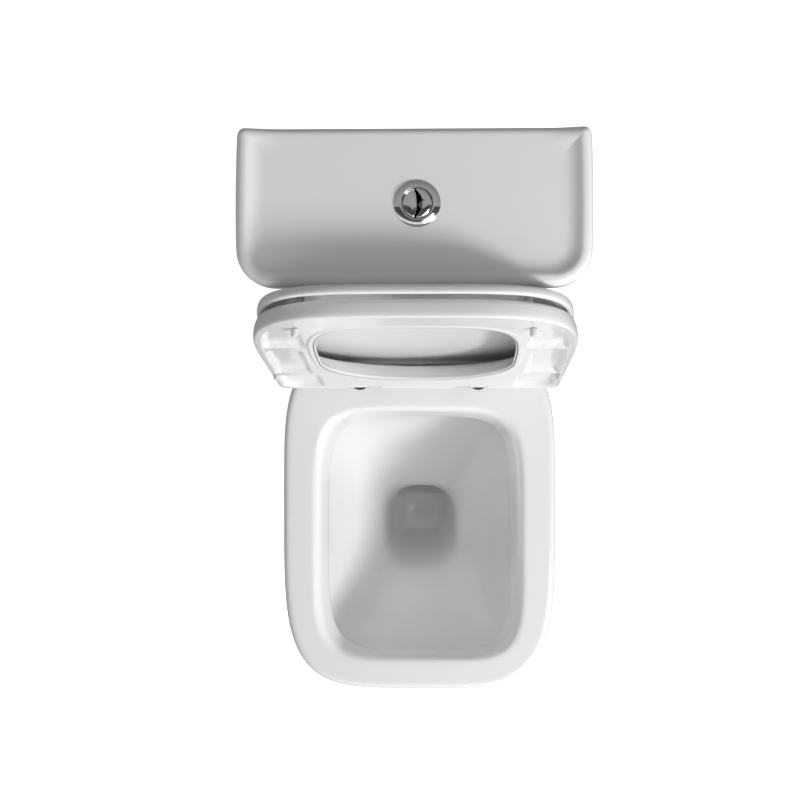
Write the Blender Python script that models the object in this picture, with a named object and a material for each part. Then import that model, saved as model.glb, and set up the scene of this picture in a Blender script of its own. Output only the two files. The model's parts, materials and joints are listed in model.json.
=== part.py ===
"""Close coupled toilet: a pan, a cistern on its rear shelf, a seat and a lid, and all their fittings.

Everything is in metres with +Z up. The floor is z = 0, the front faces -Y, and "forward" is the
distance in front of the back plane of the cistern. The seat and its lid are made closed and then
turned up about their pins, which is how they stand.
"""
import math

import bmesh
import bpy
from mathutils import Matrix, Vector

# Whole object
PROJECTION = 0.668
RIM_HEIGHT = 0.400
GAP = 0.0003
WALL = 0.0105

# Pan
PAN_MIDDLE = 0.418
PAN_HALF_WIDTH = 0.1803
FOOT_HALF_WIDTH = 0.124
OUTLET_HEIGHT = 0.185
OUTLET_BORE = 0.038
OUTLET_END = 0.015
OUTLET_ROOM = 0.058
OUTLET_TOP = 0.298
PARTING = 0.285
SHELF_HALF_WIDTH = 0.108
SHELF_BACK = 0.035
DECK_THICKNESS = 0.016

# Cistern
CISTERN_MIDDLE = 0.080
TANK_FLOOR = 0.416
TANK_TOP = 0.752
TANK_WALL = 0.010
LID_HALF_WIDTH = 0.1875
LID_DEPTH = 0.167
LID_CREST = 0.790
PLATEAU = 0.783
BOLT_SPREAD = 0.078
FILL_VALVE_X = -0.124

# Flush button
BUTTON_X = 0.0035
BEZEL_RADIUS = 0.0248
BUTTON_RADIUS = 0.0158
BUTTON_TOP = 0.7868
FULL_SPLIT = (0.0207, 0.0047)
HALF_SPLIT = (0.0380, 0.0000)
FULL_ROD_X = 0.0090
HALF_ROD_X = -0.0075

# Seat and lid, measured forward of the pins and above them, as they lie closed
PIN_FORWARD = 0.258
PIN_HEIGHT = 0.417
PIN_RADIUS = 0.003
PIN_CLEARANCE = 0.0003
OPEN_ANGLE = math.radians(99.0)
SEAT_HALF_WIDTH = 0.1823
SEAT_MIDDLE = 0.160
SEAT_BOTTOM = -0.012
SEAT_RISE = 0.80
SEAT_TOP = 0.0107
COVER_HALF_WIDTH = 0.1765
COVER_BOTTOM = 0.0147
COVER_TOP = 0.028
POST_INNER = 0.067
POST_OUTER = 0.089
HINGE_X = 0.5 * (POST_INNER + POST_OUTER)

OUTLINE_POWER = 4.4
SEAT_POWER = 4.0
RING_STEPS = 32
ROUND_STEPS = 20

# foot screws and what the cistern holds inside
FLOOR_SCREW_X = 0.110
FLOOR_SCREW_FORWARD = 0.392
SCREW_SEAT = 0.018
FLOOR_INSIDE = TANK_FLOOR + 0.012
VALVE_FLANGE = FLOOR_INSIDE + 0.0036
TOWER_BASE = VALVE_FLANGE + 0.0050 + GAP
SEAL_BOTTOM = VALVE_FLANGE + 0.0085 + GAP
TOWER_TOP = 0.700
ROD_BOTTOM = 0.690
LEVER_PIVOT_HEIGHT = 0.7075
LEVER_REACH = 0.040
LEVER_DROP = math.radians(14)
LEVER_HALF_WIDTH = 0.0035

# hinge pins, and the seat's notches and pockets as (name, x, forward from the pins, half x, half y)
PIN_INNER = 0.0485
PIN_OUTER = 0.1040
NOTCH_INNER = 0.0477
NOTCH_OUTER = 0.0893
POCKETS = (
    ("rear", 0.1490, 0.0440, 0.0245, 0.0400),
    ("side", 0.1490, 0.1720, 0.0245, 0.0740),
    ("fore", 0.1425, 0.3010, 0.0245, 0.0430),
)
POCKET_DEPTH = 0.0090

# the seat's opening, measured from the pins
OPENING_MIDDLE = 0.170
OPENING_HALF_WIDTH = 0.1135
OPENING_FRONT = 0.187
OPENING_BACK = 0.108

# the lid's top falls towards its front edge, from CROWN_START to the tip
CROWN_START = 0.300
CROWN_REACH = 0.120
CROWN_FALL = 0.0024


def clear_scene():
    for thing in list(bpy.data.objects):
        bpy.data.objects.remove(thing, do_unlink=True)


def paint(name, colour, roughness, metallic=0.0):
    material = bpy.data.materials.new(name)
    material.use_nodes = True
    shader = material.node_tree.nodes["Principled BSDF"]
    shader.inputs["Base Color"].default_value = (*colour, 1.0)
    shader.inputs["Roughness"].default_value = roughness
    shader.inputs["Metallic"].default_value = metallic
    return material


def at(x, forward, height):
    """The world point that lies this far forward of the cistern's back plane."""
    return Vector((x, 0.5 * PROJECTION - forward, height))


def raised():
    """The turn that lifts the closed seat and lid about their pins, with their place on the pan."""
    pins = Matrix.Translation(at(0, PIN_FORWARD, PIN_HEIGHT))
    return pins @ Matrix.Rotation(-OPEN_ANGLE, 4, "X")


def to_object(name, shell, material=None, place=None):
    """Closes a bmesh into a named object with its faces pointing out."""
    bmesh.ops.recalc_face_normals(shell, faces=shell.faces)
    mesh = bpy.data.meshes.new(name)
    shell.to_mesh(mesh)
    shell.free()
    mesh.shade_smooth()
    mesh.set_sharp_from_angle(angle=math.radians(35))
    thing = bpy.data.objects.new(name, mesh)
    bpy.context.scene.collection.objects.link(thing)
    if material:
        mesh.materials.append(material)
    if place:
        thing.matrix_world = place
    return thing


def combine(body, tool, operation):
    """Adds a live Boolean; the tool itself is only a guide."""
    modifier = body.modifiers.new(tool.name, "BOOLEAN")
    modifier.operation = operation
    modifier.solver = "EXACT"
    modifier.object = tool
    tool.hide_render = True
    tool.display_type = "WIRE"


def cut(body, tool):
    combine(body, tool, "DIFFERENCE")


def copy_of(body, name):
    twin = body.copy()
    twin.data = body.data.copy()
    twin.name = twin.data.name = name
    bpy.context.scene.collection.objects.link(twin)
    return twin


def join(body, tool):
    combine(body, tool, "UNION")


def loft(rings):
    """A closed skin over a stack of rings that have equally many points."""
    shell = bmesh.new()
    loops = [[shell.verts.new(point) for point in ring] for ring in rings]
    count = len(loops[0])
    for lower, upper in zip(loops, loops[1:]):
        for index in range(count):
            after = (index + 1) % count
            shell.faces.new((lower[index], lower[after], upper[after], upper[index]))
    shell.faces.new(list(reversed(loops[0])))
    shell.faces.new(loops[-1])
    return shell


def turned(profile, steps=ROUND_STEPS, closed=True):
    """A solid turned about Z. A closed profile makes a ring; an open one starts and ends on the axis."""
    shell = bmesh.new()
    verts = [shell.verts.new((radius, 0, height)) for radius, height in profile]
    edges = [shell.edges.new(pair) for pair in zip(verts, verts[1:])]
    if closed:
        edges.append(shell.edges.new((verts[-1], verts[0])))
    bmesh.ops.spin(
        shell, geom=verts + edges, cent=(0, 0, 0), axis=(0, 0, 1), dvec=(0, 0, 0),
        angle=2 * math.pi, steps=steps, use_merge=True,
    )
    bmesh.ops.remove_doubles(shell, verts=shell.verts, dist=1e-6)
    return shell


def sleeve(inner, outer, bottom, top):
    return [(inner, bottom), (outer, bottom), (outer, top), (inner, top)]


def extruded(outline, low, high, plane="xy"):
    """An outline drawn in one plane and given a thickness across it."""
    rings = []
    for level in (low, high):
        if plane == "xy":
            rings.append([Vector((u, v, level)) for u, v in outline])
        else:
            rings.append([Vector((level, u, v)) for u, v in outline])
    return loft(rings)


def lying(axis):
    """Turns a piece made on Z so that it lies along another axis."""
    if axis == "X":
        return Matrix.Rotation(math.pi / 2, 4, "Y")
    if axis == "Y":
        return Matrix.Rotation(math.pi / 2, 4, "X")
    return Matrix.Identity(4)


def rod(radius, low, high, steps=ROUND_STEPS):
    return turned([(0, low), (radius, low), (radius, high), (0, high)], steps, closed=False)


def cylinder(name, place, radius, low, high, steps=ROUND_STEPS, axis="Z"):
    """A round guide along one axis of its place."""
    return to_object(name, rod(radius, low, high, steps), place=place @ lying(axis))


def standing(x, forward, height=0.0):
    return Matrix.Translation(at(x, forward, height))


def block(name, low, high, place=None):
    """A plain box guide between two corners."""
    outline = [(low[0], low[1]), (high[0], low[1]), (high[0], high[1]), (low[0], high[1])]
    return to_object(name, extruded(outline, low[2], high[2]), place=place or Matrix.Identity(4))


def power_curve(angle, reach_x, reach_y, power):
    """One point of a superellipse about the origin."""
    cosine = math.cos(angle)
    sine = math.sin(angle)
    x = reach_x * math.copysign(abs(cosine) ** (2 / power), cosine)
    y = reach_y * math.copysign(abs(sine) ** (2 / power), sine)
    return x, y


def egg_ring(height, half_width, front, back, middle, power, steps=RING_STEPS):
    """A level ring whose front and back reach differently far from its widest line."""
    ring = []
    for step in range(steps):
        angle = 2 * math.pi * step / steps
        reach = front - middle if math.sin(angle) > 0 else middle - back
        x, y = power_curve(angle, half_width, reach, power)
        ring.append(at(x, middle + y, height))
    return ring


def corner_arc(centre_x, centre_y, radius, start, steps):
    """A quarter turn from the angle start, as points."""
    points = []
    for step in range(steps + 1):
        angle = start + 0.5 * math.pi * step / steps
        points.append((centre_x + radius * math.cos(angle), centre_y + radius * math.sin(angle)))
    return points


def rounded_ring(height, half_width, back, front, back_radius, front_radius, steps=5):
    """A level rounded rectangle, its front and back corners rounded differently."""
    quarter = 0.5 * math.pi
    points = corner_arc(half_width - front_radius, front - front_radius, front_radius, 0, steps)
    points += corner_arc(front_radius - half_width, front - front_radius, front_radius, quarter, steps)
    points += corner_arc(back_radius - half_width, back + back_radius, back_radius, 2 * quarter, steps)
    points += corner_arc(half_width - back_radius, back + back_radius, back_radius, 3 * quarter, steps)
    return [at(x, forward, height) for x, forward in points]


def bowl_rings(offset=0.0, top=RIM_HEIGHT + 0.002, bottom=0.105):
    """The hollow of the bowl from the rim down to the sump, or its outside when it has an offset."""
    levels = (
        (top, 0.1385, 0.6295, 0.2950, 5.4),
        (0.396, 0.1325, 0.6260, 0.2995, 5.4),
        (0.386, 0.1265, 0.6240, 0.3030, 5.2),
        (0.356, 0.1205, 0.6220, 0.3060, 5.0),
        (0.352, 0.142, 0.641, 0.284, 4.4),
        (0.342, 0.135, 0.634, 0.291, 4.0),
        (0.300, 0.122, 0.620, 0.306, 3.4),
        (0.250, 0.097, 0.588, 0.346, 3.0),
        (0.215, 0.068, 0.546, 0.392, 2.9),
        (0.200, 0.056, 0.531, 0.407, 3.2),
        (0.185, 0.049, 0.524, 0.413, 3.2),
        (0.140, 0.042, 0.508, 0.420, 3.0),
        (bottom, 0.034, 0.495, 0.428, 2.8),
    )
    rings = []
    for height, half_width, front, back, power in levels:
        middle = 0.5 * (front + back)
        rings.append(egg_ring(height, half_width + offset, front + offset, back - offset, middle, power))
    return rings


def pan_body():
    """The bowl's outside and the foot, from the floor up to the rim."""
    levels = (
        (0.000, FOOT_HALF_WIDTH, 0.566, 0.198, 3.2),
        (0.016, FOOT_HALF_WIDTH, 0.566, 0.198, 3.2),
        (0.042, 0.112, 0.552, 0.204, 3.0),
        (0.130, 0.106, 0.545, 0.206, 2.8),
        (0.210, 0.118, 0.572, 0.206, 2.9),
        (0.280, 0.146, 0.624, 0.208, 3.3),
        (0.330, 0.169, 0.655, 0.211, 4.0),
        (0.356, 0.1785, 0.666, 0.2125, OUTLINE_POWER),
        (0.390, PAN_HALF_WIDTH, PROJECTION, 0.213, OUTLINE_POWER),
        (0.3972, 0.1785, 0.6662, 0.2148, OUTLINE_POWER),
        (RIM_HEIGHT, 0.1735, 0.6612, 0.2198, OUTLINE_POWER),
    )
    rings = []
    for height, half_width, front, back, power in levels:
        rings.append(egg_ring(height, half_width, front, back, PAN_MIDDLE, power))
    return rings


def shelf_body(inset=0.0, bottom=0.0, top=RIM_HEIGHT, front=0.330):
    """The shelf that carries the cistern and the walls below it, or the hollow inside them."""
    levels = (
        (bottom, 0.092, 0.070),
        (0.050, 0.087, 0.066),
        (0.300, 0.086, 0.060),
        (0.345, SHELF_HALF_WIDTH, SHELF_BACK),
        (top, SHELF_HALF_WIDTH, SHELF_BACK),
    )
    rings = []
    for height, half_width, back in levels:
        corner = 0.022 - 0.5 * inset
        rings.append(rounded_ring(height, half_width - inset, back + inset, front, corner, corner, 3))
    return rings


def trap_path(end):
    """The waterway: under the seal at the back of the sump, over the weir and out level."""
    points = (
        (0.462, 0.146), (0.412, 0.138), (0.380, 0.150), (0.352, 0.182), (0.330, 0.215),
        (0.300, 0.235), (0.264, 0.228), (0.232, 0.200), (0.190, OUTLET_HEIGHT), (end, OUTLET_HEIGHT),
    )
    return [at(0, forward, height) for forward, height in points]


def swept_tube(path, radius, steps=ROUND_STEPS):
    """A round tube along a path that stays in the middle plane."""
    side = Vector((1, 0, 0))
    rings = []
    for index, point in enumerate(path):
        heading = path[min(index + 1, len(path) - 1)] - path[max(index - 1, 0)]
        lift = heading.normalized().cross(side)
        ring = []
        for step in range(steps):
            angle = 2 * math.pi * step / steps
            ring.append(point + radius * (math.cos(angle) * side + math.sin(angle) * lift))
        rings.append(ring)
    return loft(rings)


def foot_hollow():
    """The open underside: inside the foot, inside the shelf and out through its back."""
    levels = (
        (-0.005, FOOT_HALF_WIDTH - WALL, 0.555, 0.209, 3.2),
        (0.016, FOOT_HALF_WIDTH - WALL, 0.555, 0.209, 3.2),
        (0.042, 0.101, 0.541, 0.215, 3.0),
        (0.130, 0.095, 0.534, 0.217, 2.8),
        (0.210, 0.107, 0.559, 0.218, 2.9),
        (0.280, 0.134, 0.611, 0.220, 3.3),
        (0.335, 0.158, 0.644, 0.224, 4.0),
    )
    rings = [egg_ring(height, width, front, back, PAN_MIDDLE, power)
             for height, width, front, back, power in levels]
    hollow = to_object("guide_foot_hollow", loft(rings))
    ceiling = RIM_HEIGHT - DECK_THICKNESS
    shelf = shelf_body(inset=WALL, bottom=-0.005, top=ceiling, front=0.274)
    join(hollow, to_object("guide_shelf_hollow", loft(shelf)))
    back = at(0, 0.120, 0)
    outside = at(0, -0.010, 0)
    join(hollow, block("guide_open_back", (-0.062, back.y, -0.006), (0.062, outside.y, 0.305)))
    return hollow


def rim_channel():
    """The hollow of the rim, which is open downwards into the undercut of the bowl."""
    outer = []
    inner = []
    for height, tuck in ((0.350, 0.004), (0.356, 0.0), (0.380, 0.0), (0.388, 0.006)):
        outer.append(egg_ring(height, 0.166 - tuck, 0.653 - tuck, 0.262 + tuck, PAN_MIDDLE, 3.8))
        inner.append(egg_ring(height, 0.133 + tuck, 0.633 + tuck, 0.292 - tuck, PAN_MIDDLE, 5.0))
    channel = to_object("guide_rim_channel", loft(outer))
    inner[0] = [point - Vector((0, 0, 0.004)) for point in inner[0]]
    inner[-1] = [point + Vector((0, 0, 0.004)) for point in inner[-1]]
    cut(channel, to_object("guide_rim_inner", loft(inner)))
    return channel


def flush_way(radius, mouth_radius, floor, name):
    """The well under the cistern's outlet and the channel from it to the back of the bowl."""
    path = [at(0, CISTERN_MIDDLE, 0.358), at(0, 0.190, 0.346), at(0, 0.312, 0.330)]
    channel = to_object(name + "_channel", swept_tube(path, radius))
    well_top = RIM_HEIGHT + 0.002 if mouth_radius < 0.04 else RIM_HEIGHT - 0.004
    well = cylinder(name + "_well", standing(0, CISTERN_MIDDLE), mouth_radius, floor, well_top)
    join(channel, well)
    return channel


def make_pan(ceramic):
    pan = to_object("pan", loft(pan_body()), ceramic)
    join(pan, to_object("guide_shelf", loft(shelf_body())))
    cut(pan, foot_hollow())
    join(pan, to_object("guide_bowl_shell", loft(bowl_rings(WALL, RIM_HEIGHT - 0.006, 0.093))))
    join(pan, to_object("guide_trap_shell", swept_tube(trap_path(OUTLET_END), OUTLET_BORE + WALL)))
    join(pan, flush_way(0.031, 0.045, 0.326, "guide_flush_shell"))
    for side in (-1, 1):
        spot = standing(side * 0.104, FLOOR_SCREW_FORWARD)
        join(pan, cylinder(f"guide_screw_boss_{side}", spot, 0.015, 0.0, SCREW_SEAT + 0.012, 16))
    cut(pan, rim_channel())
    cut(pan, to_object("guide_bowl", loft(bowl_rings())))
    cut(pan, to_object("guide_trap_bore", swept_tube(trap_path(-0.01), OUTLET_BORE)))
    cut(pan, flush_way(0.020, 0.033, 0.338, "guide_flush"))
    low = RIM_HEIGHT - 0.040
    high = RIM_HEIGHT + 0.010
    for side in (-1, 1):
        cut(pan, cylinder(f"guide_bolt_hole_{side}", standing(side * BOLT_SPREAD, CISTERN_MIDDLE),
                          0.0065, low, high, 12))
        cut(pan, cylinder(f"guide_hinge_hole_{side}", standing(side * HINGE_X, PIN_FORWARD),
                          0.0065, low, high, 12))
        spot = standing(side * FLOOR_SCREW_X, FLOOR_SCREW_FORWARD)
        cut(pan, cylinder(f"guide_screw_hole_{side}", spot, 0.0045, -0.005, SCREW_SEAT + 0.005, 12))
        cut(pan, cylinder(f"guide_screw_seat_{side}", spot, 0.0095, SCREW_SEAT, 0.056, 16))
    divide_pan(pan)
    return pan


def divide_pan(pan):
    """The casting in three: the bowl on its foot, the shelf behind it and the outlet pipe."""
    line = at(0, PARTING, 0).y
    far = at(0, -0.05, 0).y
    pipe_low = Vector((-OUTLET_ROOM, line + GAP, OUTLET_HEIGHT - OUTLET_ROOM))
    pipe_high = Vector((OUTLET_ROOM, far, OUTLET_TOP))
    shelf = copy_of(pan, "pan_shelf")
    outlet = copy_of(pan, "pan_outlet")
    cut(pan, block("guide_behind", (-0.3, line, -0.05), (0.3, far, 0.5)))
    combine(shelf, block("guide_shelf_side", (-0.3, line + GAP, -0.05), (0.3, far, 0.5)), "INTERSECT")
    cut(shelf, block("guide_outlet_room", pipe_low - Vector((0, 0.01, 0)), pipe_high))
    combine(outlet, block("guide_outlet_side", pipe_low, pipe_high), "INTERSECT")


def make_tank(ceramic):
    outside = [
        rounded_ring(TANK_FLOOR, 0.160, 0.012, 0.141, 0.020, 0.026),
        rounded_ring(TANK_FLOOR + 0.008, 0.165, 0.006, 0.147, 0.020, 0.028),
        rounded_ring(TANK_TOP, 0.183, 0.004, 0.1605, 0.020, 0.034),
    ]
    inside = [
        rounded_ring(TANK_FLOOR + 0.012, 0.153, 0.018, 0.135, 0.012, 0.018),
        rounded_ring(TANK_FLOOR + 0.022, 0.1565, 0.0155, 0.1375, 0.012, 0.018),
        rounded_ring(TANK_TOP + 0.001, 0.183 - TANK_WALL, 0.014, 0.1505, 0.012, 0.025),
    ]
    tank = to_object("cistern_tank", loft(outside), ceramic)
    cut(tank, to_object("guide_tank_inside", loft(inside)))
    holes = [(0, 0.031, ROUND_STEPS), (FILL_VALVE_X, 0.0112, 16)]
    holes += [(side * BOLT_SPREAD, 0.0055, 12) for side in (-1, 1)]
    for x, radius, steps in holes:
        name = f"guide_tank_hole_{round(1000 * x)}"
        cut(tank, cylinder(name, standing(x, CISTERN_MIDDLE), radius, TANK_FLOOR - 0.01, TANK_FLOOR + 0.03, steps))
    return tank


def lid_ring(height, inset, back=None):
    """A ring of the cistern lid, moved in from its edge; back puts its rear edge elsewhere."""
    rear = inset if back is None else back
    front_corner = max(0.038 - inset, 0.012)
    back_corner = max(0.010 - inset, 0.003)
    return rounded_ring(height, LID_HALF_WIDTH - inset, rear, LID_DEPTH - inset, back_corner, front_corner, 7)


def make_cistern_lid(ceramic):
    """A tray: its lip runs down both sides and along the front and is open at the back."""
    seat = TANK_TOP + GAP
    outside = [lid_ring(seat, 0.0020), lid_ring(seat + 0.003, 0), lid_ring(0.781, 0),
               lid_ring(0.7868, 0.0022), lid_ring(0.7892, 0.0055), lid_ring(LID_CREST, 0.0098)]
    lid = to_object("cistern_lid", loft(outside), ceramic)
    tray = [lid_ring(PLATEAU, 0.030, -0.02), lid_ring(PLATEAU + 0.0010, 0.023, -0.02),
            lid_ring(PLATEAU + 0.0035, 0.0165, -0.02), lid_ring(LID_CREST + 0.0001, 0.0112, -0.02),
            lid_ring(LID_CREST + 0.003, 0.0100, -0.02)]
    cut(lid, to_object("guide_tray", loft(tray)))
    hollow = [lid_ring(seat - 0.01, 0.0100), lid_ring(PLATEAU - 0.014, 0.0115), lid_ring(PLATEAU - 0.010, 0.016)]
    cut(lid, to_object("guide_lid_hollow", loft(hollow)))
    hole = cylinder("guide_button_hole", standing(BUTTON_X, CISTERN_MIDDLE), 0.0200, PLATEAU - 0.02, PLATEAU + 0.01)
    cut(lid, hole)
    return lid


def flat_nut(name, material, place, sides, reach, bore, low, high):
    """A nut with flat sides and a round hole."""
    outline = [power_curve(2 * math.pi * side / sides, reach, reach, 2) for side in range(sides)]
    nut = to_object(name, extruded(outline, low, high), material, place)
    cut(nut, cylinder("guide_hole_" + name, place, bore, low - 0.002, high + 0.002, 24))
    return nut


def split_outline(large):
    """The plan of one flush button: a disc divided by an arc that bulges towards +X.

    Each button has its own arc, so a crescent stays open between them.
    """
    edge = BUTTON_RADIUS
    arc, bulge = FULL_SPLIT if large else HALF_SPLIT
    centre = bulge - arc
    meet_x = (edge ** 2 - arc ** 2 + centre ** 2) / (2 * centre)
    meet = math.atan2(math.sqrt(edge ** 2 - meet_x ** 2), meet_x)
    swing = math.atan2(edge * math.sin(meet), meet_x - centre)
    steps = 14
    span = meet if large else math.pi - meet
    base = 0.0 if large else math.pi
    rim = []
    for step in range(steps + 1):
        angle = base - span + 2 * span * step / steps
        rim.append((edge * math.cos(angle), edge * math.sin(angle)))
    divide = []
    for step in range(1, 8):
        angle = swing - 2 * swing * step / 8
        angle = angle if large else -angle
        divide.append((centre + arc * math.cos(angle), arc * math.sin(angle)))
    return rim + divide


def make_button(name, large, chrome):
    """A flush button with a softly domed top and the skirt that guides it in the bezel."""
    outline = split_outline(large)
    centre = Vector((sum(x for x, _ in outline), sum(y for _, y in outline))) / len(outline)
    rings = []
    for height, scale in ((-0.0120, 1.0), (-0.0022, 1.0), (-0.0008, 0.94), (0.0, 0.74)):
        ring = [centre + scale * (Vector(point) - centre) for point in outline]
        rings.append([Vector((point.x, point.y, height)) for point in ring])
    return to_object(name, loft(rings), chrome, standing(BUTTON_X, CISTERN_MIDDLE, BUTTON_TOP))


def make_flush_button(chrome, plastic):
    top = PLATEAU + GAP
    bezel = [(0.0161, 0.762), (0.0195, 0.762), (0.0195, top), (BEZEL_RADIUS, top),
             (BEZEL_RADIUS, top + 0.0008), (0.0238, top + 0.0026), (0.0215, top + 0.0040),
             (0.0190, top + 0.0040), (0.0170, top + 0.0030), (0.0161, top + 0.0016)]
    place = standing(BUTTON_X, CISTERN_MIDDLE)
    to_object("button_bezel", turned(bezel, 24), chrome, place)
    flat_nut("button_nut", plastic, place, 12, 0.0275, 0.0201, 0.7655, PLATEAU - 0.010 - GAP)
    make_button("full_flush_button", True, chrome)
    make_button("half_flush_button", False, chrome)
    rod_top = BUTTON_TOP - 0.012 - GAP
    for name, x in (("full_flush_rod", FULL_ROD_X), ("half_flush_rod", HALF_ROD_X)):
        profile = [(0, ROD_BOTTOM), (0.0028, ROD_BOTTOM), (0.0028, rod_top - 0.003), (0.0042, rod_top - 0.003),
                   (0.0042, rod_top), (0, rod_top)]
        to_object(name, turned(profile, 12, closed=False), plastic, standing(x, CISTERN_MIDDLE))


def make_flush_valve(pale, dark, rubber):
    place = standing(0, CISTERN_MIDDLE)
    base = [(0.0240, 0.4035), (0.0295, 0.4035), (0.0295, VALVE_FLANGE), (0.0420, VALVE_FLANGE),
            (0.0420, TOWER_BASE - GAP), (0.0290, TOWER_BASE - GAP), (0.0270, SEAL_BOTTOM - GAP),
            (0.0240, SEAL_BOTTOM - GAP)]
    to_object("flush_valve_base", turned(base, 24), pale, place)
    washer = sleeve(0.0300, 0.0410, FLOOR_INSIDE + GAP, VALVE_FLANGE - GAP)
    to_object("flush_valve_washer", turned(washer, 24), rubber, place)
    flat_nut("flush_valve_backnut", pale, place, 8, 0.0430, 0.0302, 0.4046, TANK_FLOOR - GAP)
    ring = [(0.0460, RIM_HEIGHT + GAP), (0.0590, RIM_HEIGHT + GAP), (0.0610, 0.408),
            (0.0590, TANK_FLOOR - GAP), (0.0460, TANK_FLOOR - GAP)]
    to_object("coupling_gasket", turned(ring, 24), rubber, place)
    cage = [(0.0350, TOWER_BASE), (0.0410, TOWER_BASE), (0.0410, TOWER_BASE + 0.003),
            (0.0380, TOWER_BASE + 0.004), (0.0380, 0.490), (0.0260, 0.502), (0.0260, TOWER_TOP),
            (0.0120, TOWER_TOP), (0.0120, TOWER_TOP - 0.003), (0.0235, TOWER_TOP - 0.003),
            (0.0235, 0.5005), (0.0350, 0.4885)]
    tower = to_object("flush_valve_tower", turned(cage, 24), pale, place)
    for turn in (0.25, 0.75):
        window = block(f"guide_window_{turn}", (-0.060, -0.009, TOWER_BASE + 0.006), (0.060, 0.009, 0.484),
                       place @ Matrix.Rotation(turn * math.pi, 4, "Z"))
        cut(tower, window)
    lift = SEAL_BOTTOM + 0.0040 + GAP
    tube = [(0.0120, lift), (0.0290, lift), (0.0290, lift + 0.003), (0.0150, lift + 0.006),
            (0.0150, 0.640), (0.0135, 0.640), (0.0120, lift + 0.002)]
    to_object("overflow_tube", turned(tube, 20), dark, place)
    to_object("flush_valve_seal", turned(sleeve(0.0135, 0.0305, SEAL_BOTTOM, SEAL_BOTTOM + 0.004), 24), rubber, place)


def make_fill_valve(pale, dark, rubber):
    place = standing(FILL_VALVE_X, CISTERN_MIDDLE)
    shank = [(0.0060, 0.3790), (0.0102, 0.3790), (0.0102, VALVE_FLANGE), (0.0165, VALVE_FLANGE),
             (0.0165, VALVE_FLANGE + 0.004), (0.0110, VALVE_FLANGE + 0.006), (0.0110, 0.680), (0.0060, 0.680)]
    to_object("fill_valve_shank", turned(shank, 16), pale, place)
    washer = sleeve(0.0107, 0.0170, FLOOR_INSIDE + GAP, VALVE_FLANGE - GAP)
    to_object("fill_valve_washer", turned(washer, 16), rubber, place)
    flat_nut("fill_valve_backnut", pale, place, 6, 0.0160, 0.0107, 0.4046, TANK_FLOOR - GAP)
    head = [(0, 0.680 + GAP), (0.0170, 0.680 + GAP), (0.0190, 0.684), (0.0190, 0.694), (0.0150, 0.700),
            (0, 0.700)]
    head_piece = to_object("fill_valve_head", turned(head, 16, closed=False), dark, place)
    pivot = standing(FILL_VALVE_X, CISTERN_MIDDLE, LEVER_PIVOT_HEIGHT)
    for side in (-1, 1):
        low, high = sorted((side * (LEVER_HALF_WIDTH + GAP), side * (LEVER_HALF_WIDTH + 0.0022)))
        ear = block(f"guide_ear_{side}", (-0.0030, low, -0.0095), (0.0030, high, 0.0030), pivot)
        join(head_piece, ear)
    cut(head_piece, cylinder("guide_ear_bore", pivot, 0.0013, -0.01, 0.01, 10, "Y"))
    to_object("lever_pin", rod(0.0010, -0.0056, 0.0056, 10), pale, pivot @ lying("Y"))
    cup = [(0.0118, 0.560), (0.0240, 0.560), (0.0250, 0.566), (0.0250, 0.630), (0.0235, 0.634),
           (0.0118, 0.634)]
    to_object("float_cup", turned(cup, 20), dark, place)
    rod_x = FILL_VALVE_X + LEVER_REACH
    rod_piece = to_object("float_rod", rod(0.0015, 0.628, 0.716, 8), pale, standing(rod_x, CISTERN_MIDDLE))
    foot = block("guide_rod_foot", (FILL_VALVE_X + 0.0255, at(0, CISTERN_MIDDLE + 0.003, 0).y, 0.626),
                 (rod_x + 0.0022, at(0, CISTERN_MIDDLE - 0.003, 0).y, 0.632))
    join(rod_piece, foot)
    width = LEVER_HALF_WIDTH
    neck = LEVER_REACH - 0.005
    tip = LEVER_REACH + 0.005
    slot = LEVER_REACH - 0.003
    outline = [(-0.006, -width), (neck, -width), (neck, -0.0055), (tip, -0.0055), (tip, -0.0032),
               (slot, -0.0032), (slot, 0.0032), (tip, 0.0032), (tip, 0.0055), (neck, 0.0055),
               (neck, width), (-0.006, width)]
    tilted = pivot @ Matrix.Rotation(LEVER_DROP, 4, "Y")
    lever = to_object("float_lever", extruded(outline, -0.0025, 0.0025), pale, tilted)
    cut(lever, cylinder("guide_lever_bore", tilted, 0.0013, -0.01, 0.01, 10, "Y"))


def wing_nut(name, material, place, bore, thickness=0.010):
    """A round hub with two flat wings, fore and aft."""
    hub = 0.0085
    wing = 0.0021
    reach = 0.0155
    lean = math.asin(wing / hub)
    outline = [(wing, reach), (-wing, reach)]
    quarter = 0.5 * math.pi
    for step in range(7):
        angle = quarter + lean + (math.pi - 2 * lean) * step / 6
        outline.append((hub * math.cos(angle), hub * math.sin(angle)))
    outline += [(-wing, -reach), (wing, -reach)]
    for step in range(7):
        angle = -quarter + lean + (math.pi - 2 * lean) * step / 6
        outline.append((hub * math.cos(angle), hub * math.sin(angle)))
    nut = to_object(name, extruded(outline, -thickness, 0.0), material, place)
    cut(nut, cylinder("guide_bore_" + name, place, bore, -thickness - 0.002, 0.002, 12))


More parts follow.
